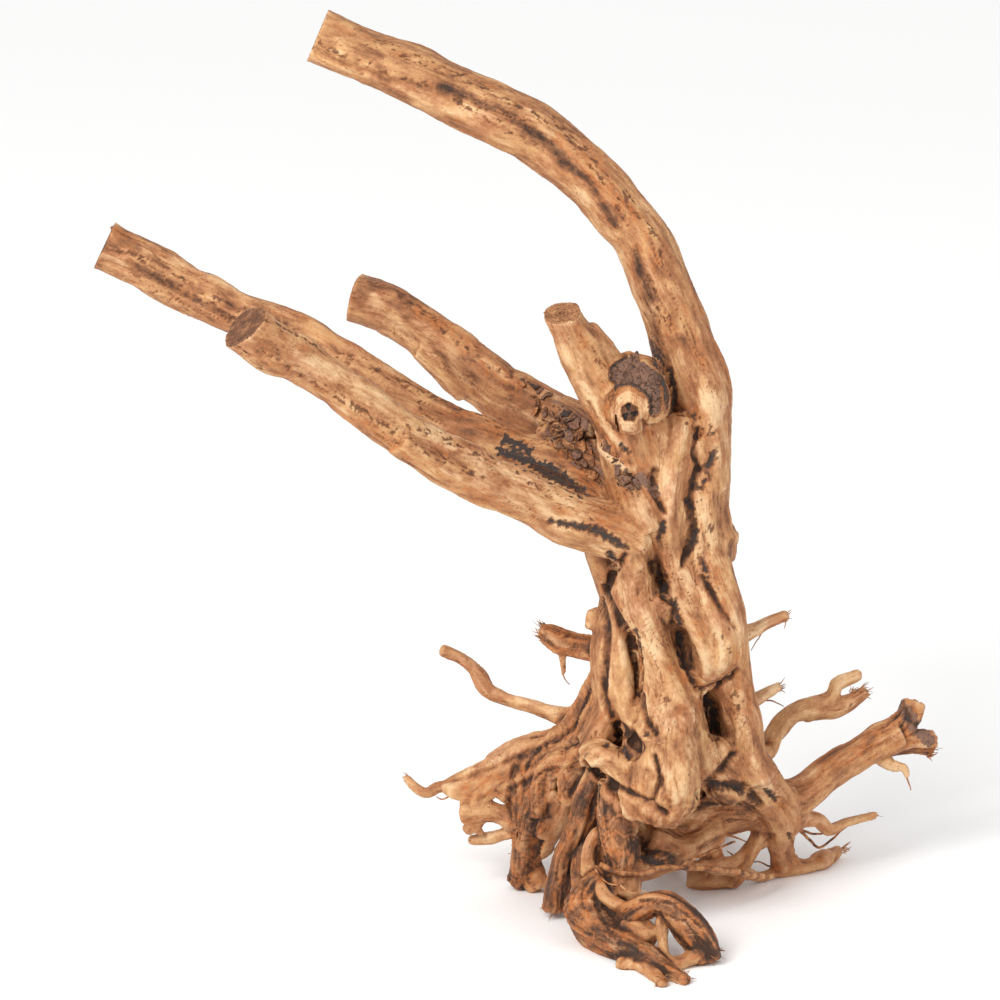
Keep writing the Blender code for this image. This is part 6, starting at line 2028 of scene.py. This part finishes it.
        # The heart's darker tone and the dark mask: painted shade in the heart's pit, the lobes,
        # the bark's cracks, along the bark's left edge and beside the rim, partly the knot's own
        # dark wood.
        masks = {"tone": 0.48 + 0.20 * pale + 0.05 * rings * pale + 0.12 * rim
                 - 0.30 * smoothstep(4.8, 3.8, apart) - 0.12 * smoothstep(1.5, 4.0, apart - 9.0),
                 "pale": 0.85 * pale,
                 "rust": np.clip(0.9 * rim + 0.7 * smoothstep(8.5, 10.5, apart)
                                 + 1.3 * edge_line * flake, 0.0, 1.0) * (1.0 - pale),
                 "bark": under_bark * (1.0 - 0.9 * edge_line * flake),
                 "dark": np.clip(0.85 * lobes + 0.48 * smoothstep(4.9, 3.7, apart)
                                 + under_bark * (0.62 * net + 0.22 * fine_net)
                                 + 0.7 * edge_line * (flat[:, 0] < -16.0)
                                 + 0.8 * np.exp(-((apart - collar - 1.5) / 0.6) ** 2)
                                 * under_bark, 0.0, 1.0),
                 "soot_and_shade": 0.35 * under_bark * smoothstep(0.2, 0.8, number)}
        return height, masks, room

    def build(self, surface: Surface, finish: bpy.types.Material) -> bpy.types.Object:
        """Build the patch.

        Args:
            surface: The wood that it lies on.
            finish: The material.

        Returns:
            The piece, a thin closed skin.
        """
        across, up, net = self.drape(surface)
        make = {Crust.KNOB: self.knob, Crust.CRUMBS: self.crumbs}[self.crust]
        height, masks, room = make(across.ravel(), up.ravel())
        lie = smoothstep(-0.2, self.edge, room)
        toward = net.ravel() + height * lie - 3.0 * (1.0 - smoothstep(-1.0, 0.6, room))
        sin, cos = math.sin(VIEW_TILT), math.cos(VIEW_TILT)
        rise = up.ravel()
        back = (rise - FRONT_REACH * sin) * sin - toward * cos
        tall = (rise - FRONT_REACH * sin) * cos + toward * sin
        outer = np.stack([across.ravel(), back, tall], 1)
        inner = outer + np.array([0.0, cos, -sin]) * 3.5
        wide, high = across.shape
        number = np.arange(wide * high).reshape(wide, high)
        kept = (room.reshape(wide, high) > -0.9)
        kept = kept[:-1, :-1] & kept[1:, :-1] & kept[:-1, 1:] & kept[1:, 1:]
        corners = np.stack([net[:-1, :-1], net[1:, :-1], net[:-1, 1:], net[1:, 1:]])
        kept &= (np.ptp(corners, axis=0) < self.steepest) & (corners.min(0) > -500.0)
        crowd = sum(np.roll(kept, (i, j), (0, 1)).astype(int)
                    for i in range(-3, 4) for j in range(-3, 4))
        kept &= crowd > 22
        quads = np.stack([number[:-1, :-1], number[1:, :-1], number[1:, 1:], number[:-1, 1:]],
                         -1)[kept]
        count = len(outer)
        starts, ends = quads.ravel(), np.roll(quads, -1, axis=1).ravel()
        lone = ~np.isin(starts * count + ends, ends * count + starts)
        walls = np.stack([ends[lone], starts[lone], starts[lone] + count, ends[lone] + count], 1)
        faces = np.concatenate([quads, quads[:, ::-1] + count, walls])
        used, local = np.unique(faces, return_inverse=True)
        local = local.reshape(-1, 4)
        places = np.concatenate([outer, inner])[used]
        piece = new_object(self.name, places + np.array(TO_CAD),
                           [tuple(face) for face in local.tolist()])
        mesh = piece.data
        masks = {name: np.concatenate([values, values])[used] for name, values in masks.items()}
        along = places[:, [2, 0, 1]]
        add_columns(mesh, {"flow_a": along, "flow_b": along, "flow_mix": np.zeros(len(places))})
        add_columns(mesh, mask_columns(masks, len(places)))
        mesh.materials.append(finish)
        mesh.shade_smooth()
        return piece


PATCHES = [
    FinePatch("knob_bark", Crust.KNOB, (-30.0, 270.0), (34.0, 50.0)),
    FinePatch("crumbled_bark", Crust.CRUMBS, (-74.0, 240.0), (70.0, 74.0)),
]


Socket = bpy.types.NodeSocket
Value = Socket | float


@dataclass(frozen=True)
class VineFinish:
    """Dry, peeled vine wood: streaked grain, dark pores, rusty stains and grey bark, with painted
    highlight and shade.
    """

    deep: Colour = (0.040, 0.016, 0.007)
    brown: Colour = (0.170, 0.064, 0.024)
    tan: Colour = (0.385, 0.172, 0.070)
    gold: Colour = (0.560, 0.300, 0.128)
    cream: Colour = (0.720, 0.480, 0.270)
    russet: Colour = (0.330, 0.120, 0.042)
    rose: Colour = (0.500, 0.235, 0.120)
    rust: Colour = (0.420, 0.130, 0.032)
    soot_and_shade: Colour = (0.058, 0.042, 0.036)
    bark: Colour = (0.235, 0.125, 0.085)
    # Near-black of painted shade in holes, also the blackest soot and bark.
    hole: Colour = (0.020, 0.011, 0.008)
    bump: float = 0.55

    def make(self) -> bpy.types.Material:
        """Build the material.

        Returns:
            The material.
        """
        material = bpy.data.materials.new(SLOT)
        material.use_nodes = True
        web = Web(material.node_tree)
        fibre = web.flowing(0.13, 1.5, 3.0, 0.62)
        streak = web.flowing(0.020, 0.24, 4.0, 0.60)
        patch = web.flowing(0.065, 0.15, 5.0, 0.62)
        pore = web.flowing(0.42, 1.25, 2.0, 0.55)
        vein = web.flowing(0.055, 0.40, 4.0, 0.60)
        hue = web.noise(web.object_place, 46.0, 4.0, 0.60)
        grit = web.noise(web.object_place, 1100.0, 3.0, 0.65)
        blotch = web.noise(web.object_place, 210.0, 5.0, 0.68)
        tone, rust, soot_and_shade = web.colour_parts("wear_and_shade")
        bark = web.attribute("wear_and_shade").outputs["Alpha"]
        dark, pale, cut = web.colour_parts("form")
        gloss = web.attribute("form").outputs["Alpha"]

        # The tone brings painted highlight and shade along with the wood's own tone.
        level = web.add(tone, web.scaled(patch, 1.25, -0.625))
        level = web.add(level, web.scaled(streak, 0.55, -0.275))
        level = web.add(level, web.scaled(blotch, 0.50, -0.25))
        level = web.add(level, web.scaled(fibre, 0.26, -0.13))
        level = web.add(level, web.scaled(grit, 0.30, -0.15))
        line = web.step(web.math("ABSOLUTE", web.scaled(vein, 1.0, -0.5)), 0.014, 0.0)
        line = web.times(line, web.step(streak, 0.42, 0.60))
        level = web.add(level, web.scaled(line, -0.22, 0.0))
        golden = web.ramp(level, ((0.0, self.deep), (0.22, self.brown), (0.48, self.tan),
                                  (0.74, self.gold), (1.0, self.cream)))
        reddish = web.ramp(level, ((0.0, self.deep), (0.25, self.brown), (0.50, self.russet),
                                   (0.78, self.rose), (1.0, self.cream)))
        redness = web.step(web.add(hue, web.scaled(patch, -0.5, 0.25)), 0.42, 0.62)
        colour = web.mix(web.scaled(redness, 0.75, 0.0), golden, reddish)
        rusty = web.times(rust, web.step(web.add(blotch, web.scaled(streak, 0.5, -0.25)),
                                         0.38, 0.62))
        colour = web.mix(rusty, colour, web.ramp(level, ((0.1, self.deep), (0.45, self.rust),
                                                        (0.95, self.gold))))
        palest = web.step(web.add(patch, web.scaled(fibre, 0.4, -0.2)), 0.40, 0.66)
        palest = web.times(pale, palest)
        colour = web.mix(palest, colour, web.ramp(level, ((0.0, self.tan), (0.7, self.cream))))
        flaky = web.step(web.add(bark, web.scaled(blotch, 1.2, -0.6)), 0.30, 0.62)
        colour = web.mix(flaky, colour, web.ramp(web.add(grit, web.scaled(blotch, 0.7, -0.35)),
                                                 ((0.25, self.hole), (0.5, self.bark),
                                                  (0.85, self.brown))))
        # Soot marks go near-black: soot, with painted shade where they lie in crevices.
        soot_and_shade_share = web.step(web.add(soot_and_shade, web.scaled(blotch, 1.4, -0.7)), 0.22, 0.60)
        soot_and_shade_grain = web.add(web.scaled(fibre, 0.6, 0.0), web.scaled(grit, 0.5, 0.0))
        colour = web.mix(soot_and_shade_share, colour, web.ramp(soot_and_shade_grain, ((0.35, self.hole), (0.7, self.soot_and_shade),
                                                           (0.95, self.brown))))
        # Round and in the dark marks: a brown rim and a near-black core, painted shade in holes,
        # pits, cracks and crevices, partly dark wood.
        chip = web.noise(web.object_place, 520.0, 3.0, 0.6)
        torn = web.add(web.scaled(blotch, 1.0, -0.5), web.scaled(chip, 0.9, -0.45))
        ragged = web.add(dark, torn)
        rim = web.step(ragged, 0.12, 0.46)
        colour = web.mix(web.scaled(rim, 0.8, 0.0), colour,
                         web.ramp(fibre, ((0.25, self.deep), (0.62, self.brown),
                                          (0.85, self.russet))))
        hole_shade = web.step(ragged, 0.42, 0.80)
        soot_and_shade_grain = web.add(web.scaled(fibre, 0.9, 0.0), web.scaled(grit, 0.6, -0.25))
        soot_and_shade_grain = web.add(soot_and_shade_grain, web.scaled(blotch, 0.6, -0.3))
        colour = web.mix(hole_shade, colour, web.ramp(soot_and_shade_grain, ((0.22, self.hole), (0.58, self.soot_and_shade),
                                                           (0.9, self.brown))))
        pores = web.times(web.step(pore, 0.37, 0.29), web.scaled(cut, -1.0, 1.0))
        pores = web.times(pores, web.step(blotch, 0.42, 0.55))
        colour = web.mix(web.scaled(pores, 0.8, 0.0), colour,
                         web.ramp(grit, ((0.3, self.deep), (0.8, self.brown))))
        colour = web.mix(cut, colour, self.end_grain(web, grit))
        web.link(colour, web.shader.inputs["Base Color"])

        coarse = web.add(web.scaled(gloss, -0.22, 0.80), web.scaled(blotch, 0.30, -0.15))
        coarse = web.add(coarse, web.scaled(hole_shade, 0.10, 0.0))
        web.link(coarse, web.shader.inputs["Roughness"])
        height = web.add(web.scaled(fibre, 0.40, 0.0), web.scaled(streak, 0.30, 0.0))
        height = web.add(height, web.scaled(grit, 0.35, 0.0))
        height = web.add(height, web.scaled(blotch, 0.80, 0.0))
        height = web.add(height, web.scaled(pores, -0.55, 0.0))
        height = web.add(height, web.scaled(line, -0.35, 0.0))
        height = web.add(height, web.times(flaky, web.scaled(blotch, 1.6, 0.0)))
        web.bump(height, self.bump, 0.0006)
        web.shader.inputs["Specular IOR Level"].default_value = 0.40
        return material

    def end_grain(self, web: "Web", grit: Socket) -> Socket:
        """Colour of a sawn face: rays and rings round the pith, and open pores.

        Args:
            web: The node builder.
            grit: Fine noise.

        Returns:
            The colour.
        """
        spread = web.separate(web.attribute("flow_a").outputs["Vector"])
        turn = web.math("ARCTAN2", spread[2], spread[1])
        apart = web.math("SQRT", web.add(web.times(spread[1], spread[1]),
                                         web.times(spread[2], spread[2])))
        rays = web.noise(web.combine(web.scaled(turn, 9.0, 0.0), web.scaled(apart, 0.35, 0.0)),
                         1.0, 3.0, 0.6)
        rings = web.math("SINE", web.add(web.scaled(apart, 3.1, 0.0), web.scaled(rays, 2.5, 0.0)))
        shade = web.add(web.scaled(rays, 0.9, 0.02), web.scaled(rings, 0.07, 0.0))
        shade = web.add(shade, web.scaled(grit, 0.8, -0.4))
        stain = web.noise(web.object_place, 260.0, 4.0, 0.6)
        shade = web.add(shade, web.scaled(stain, 1.0, -0.47))
        shade = web.add(shade, web.scaled(web.step(apart, 2.4, 0.6), -0.25, 0.0))
        return web.ramp(shade, ((0.05, self.deep), (0.35, self.brown), (0.62, self.tan),
                                (0.95, self.gold)))


class Web:
    """Adds and joins shader nodes."""

    def __init__(self, tree: bpy.types.NodeTree) -> None:
        """Take a material's nodes.

        Args:
            tree: The material's node tree.
        """
        self.tree = tree
        self.shader = tree.nodes["Principled BSDF"]
        self.object_place = self.node("TexCoord", {}, "Object")
        self.named: dict[str, bpy.types.Node] = {}

    def link(self, source: Socket, target: Socket) -> None:
        """Join an output to an input."""
        self.tree.links.new(source, target)

    def node(self, kind: str, inputs: dict[int | str, Value | Colour], output: int | str = 0,
             **options: str) -> Socket:
        """Add a node.

        Args:
            kind: Its type, without the words that all of them start with.
            inputs: A value or another node's output for each input.
            output: Which output is wanted.
            options: Its settings.

        Returns:
            The output.
        """
        added = self.tree.nodes.new("ShaderNode" + kind)
        for name, option in options.items():
            setattr(added, name, option)
        for name, value in inputs.items():
            if isinstance(value, Socket):
                self.link(value, added.inputs[name])
            else:
                added.inputs[name].default_value = value
        return added.outputs[output]

    def attribute(self, name: str) -> bpy.types.Node:
        """The node that reads an attribute; each is added once.

        Args:
            name: The attribute's name.

        Returns:
            The node.
        """
        if name not in self.named:
            self.named[name] = self.node("Attribute", {}, attribute_name=name).node
        return self.named[name]

    def separate(self, vector: Socket) -> tuple[Socket, ...]:
        """The three numbers of a vector."""
        return tuple(self.node("SeparateXYZ", {0: vector}).node.outputs)

    def combine(self, first: Value, second: Value) -> Socket:
        """A vector of two numbers."""
        return self.node("CombineXYZ", {0: first, 1: second})

    def colour_parts(self, name: str) -> tuple[Socket, ...]:
        """The three parts of a colour attribute."""
        colour = self.attribute(name).outputs["Color"]
        return tuple(self.node("SeparateColor", {0: colour}).node.outputs)

    def math(self, kind: str, first: Value, second: Value = 0.0) -> Socket:
        """One sum."""
        return self.node("Math", {0: first, 1: second}, operation=kind)

    def add(self, first: Value, second: Value) -> Socket:
        """Two numbers added."""
        return self.math("ADD", first, second)

    def times(self, first: Value, second: Value) -> Socket:
        """Two numbers multiplied."""
        return self.math("MULTIPLY", first, second)

    def scaled(self, value: Value, factor: float, offset: float) -> Socket:
        """A number times a factor, plus an offset."""
        return self.node("Math", {0: value, 1: factor, 2: offset}, operation="MULTIPLY_ADD")

    def step(self, value: Value, low: float, high: float) -> Socket:
        """A soft step from 0 at low to 1 at high."""
        return self.node("MapRange", {"Value": value, "From Min": low, "From Max": high},
                         "Result", interpolation_type="SMOOTHSTEP")

    def noise(self, vector: Socket, scale: float, detail: float, roughness: float) -> Socket:
        """Noise of 0 to 1."""
        return self.node("TexNoise", {"Vector": vector, "Scale": scale, "Detail": detail,
                                      "Roughness": roughness}, "Fac")

    def flowing(self, along: float, across: float, detail: float, roughness: float) -> Socket:
        """Noise that runs with the strands.

        Args:
            along: Lumps a millimetre along a strand.
            across: Lumps a millimetre across it.
            detail: How many finer sizes are added.
            roughness: How strong the finer sizes are.

        Returns:
            A number of 0 to 1.
        """
        parts = []
        for name in ("flow_a", "flow_b"):
            place = self.node("Mapping", {"Vector": self.attribute(name).outputs["Vector"],
                                          "Scale": (along, across, across)})
            parts.append(self.noise(place, 1.0, detail, roughness))
        share = self.attribute("flow_mix").outputs["Fac"]
        return self.node("Mix", {0: share, 2: parts[0], 3: parts[1]})

    def ramp(self, value: Socket, stops: Sequence[tuple[float, Colour]]) -> Socket:
        """A colour for a number.

        Args:
            value: The number.
            stops: Pairs of a place, 0 to 1, and a colour.

        Returns:
            The colour.
        """
        output = self.node("ValToRGB", {0: value})
        marks = output.node.color_ramp.elements
        while len(marks) < len(stops):
            marks.new(0.5)
        for mark, (place, colour) in zip(marks, stops):
            mark.position = place
            mark.color = (*colour, 1.0)
        return output

    def mix(self, share: Value, first: Socket, second: Socket) -> Socket:
        """Two colours blended."""
        return self.node("Mix", {0: share, 6: first, 7: second}, 2, data_type="RGBA")

    def bump(self, height: Socket, strength: float, distance: float) -> None:
        """Turn a height, so strong and so deep in metres, into fine relief."""
        relief = self.node("Bump", {"Height": height, "Strength": strength, "Distance": distance})
        self.link(relief, self.shader.inputs["Normal"])


@dataclass
class Studio:
    """A pale floor, soft lights and the camera at the photograph's angle."""

    aim: tuple[float, float, float] = (-0.00832, -0.00524, 0.2169)
    away: float = 12.0
    frame_width: float = 0.5
    sensor: float = 36.0
    floor_size: float = 60.0
    paper: Colour = (0.95, 0.95, 0.95)
    room_light: float = 0.85

    def camera(self) -> None:
        """Set the camera up: far off, with a long lens, looking down by VIEW_TILT."""
        back = Vector((0.0, -math.cos(VIEW_TILT), math.sin(VIEW_TILT)))
        place = Vector(self.aim) + back * self.away
        bpy.ops.object.select_all(action="DESELECT")
        bpy.ops.object.camera_add(location=place, rotation=(math.pi / 2.0 - VIEW_TILT, 0.0, 0.0))
        camera = bpy.context.object
        camera.data.sensor_width = self.sensor
        camera.data.lens = self.sensor * self.away / self.frame_width
        camera.data.clip_end = 200.0
        bpy.context.scene.camera = camera

    def floor(self) -> None:
        """Lay the floor."""
        bpy.ops.object.select_all(action="DESELECT")
        bpy.ops.mesh.primitive_plane_add(size=self.floor_size)
        floor = bpy.context.object
        floor.name = "studio_floor"
        material = bpy.data.materials.new("paper")
        material.use_nodes = True
        shader = material.node_tree.nodes["Principled BSDF"]
        shader.inputs["Base Color"].default_value = (*self.paper, 1.0)
        shader.inputs["Roughness"].default_value = 0.9
        shader.inputs["Specular IOR Level"].default_value = 0.1
        floor.data.materials.append(material)

    def light(self, place: Sequence[float], size: float, power: float,
              colour: Colour) -> None:
        """Add a soft light that faces the wood.

        Args:
            place: Where it is, in metres.
            size: Its width.
            power: Its power in watts.
            colour: Its colour.
        """
        where = Vector(place)
        facing = (Vector(self.aim) - where).to_track_quat("-Z", "Y").to_euler()
        bpy.ops.object.select_all(action="DESELECT")
        bpy.ops.object.light_add(type="AREA", location=where, rotation=facing)
        lamp = bpy.context.object
        lamp.data.shape = "DISK"
        lamp.data.size = size
        lamp.data.energy = power
        lamp.data.color = colour
        lamp.visible_camera = False

    def surroundings(self) -> None:
        """Fill the room with even white light."""
        world = bpy.data.worlds.new("room")
        world.use_nodes = True
        sky = world.node_tree.nodes["Background"]
        sky.inputs["Color"].default_value = (1.0, 1.0, 1.0, 1.0)
        sky.inputs["Strength"].default_value = self.room_light
        bpy.context.scene.world = world

    def build(self) -> None:
        """Set the studio up."""
        self.camera()
        self.floor()
        self.surroundings()
        self.light((-1.1, -1.5, 1.7), 1.2, 42.0, (1.0, 0.985, 0.96))
        self.light((1.6, -1.2, 1.0), 1.4, 6.0, (0.97, 0.985, 1.0))
        bpy.context.scene.view_settings.view_transform = "Standard"


def main() -> None:
    """Build the scene."""
    logging.basicConfig(level=logging.INFO, format="%(message)s")
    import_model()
    Studio().build()
    wood = VineWood()
    wood.work_out()
    wood.read_surface(wood.fuse())
    wood.carve()
    finish = VineFinish().make()
    pieces = wood.split(finish) + [RootHairs().build(finish)]
    pieces += [patch.build(wood.surface, finish) for patch in PATCHES]
    for piece in pieces:
        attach(piece, BODY)
        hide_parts(NODE)


if __name__ == "__main__":
    main()
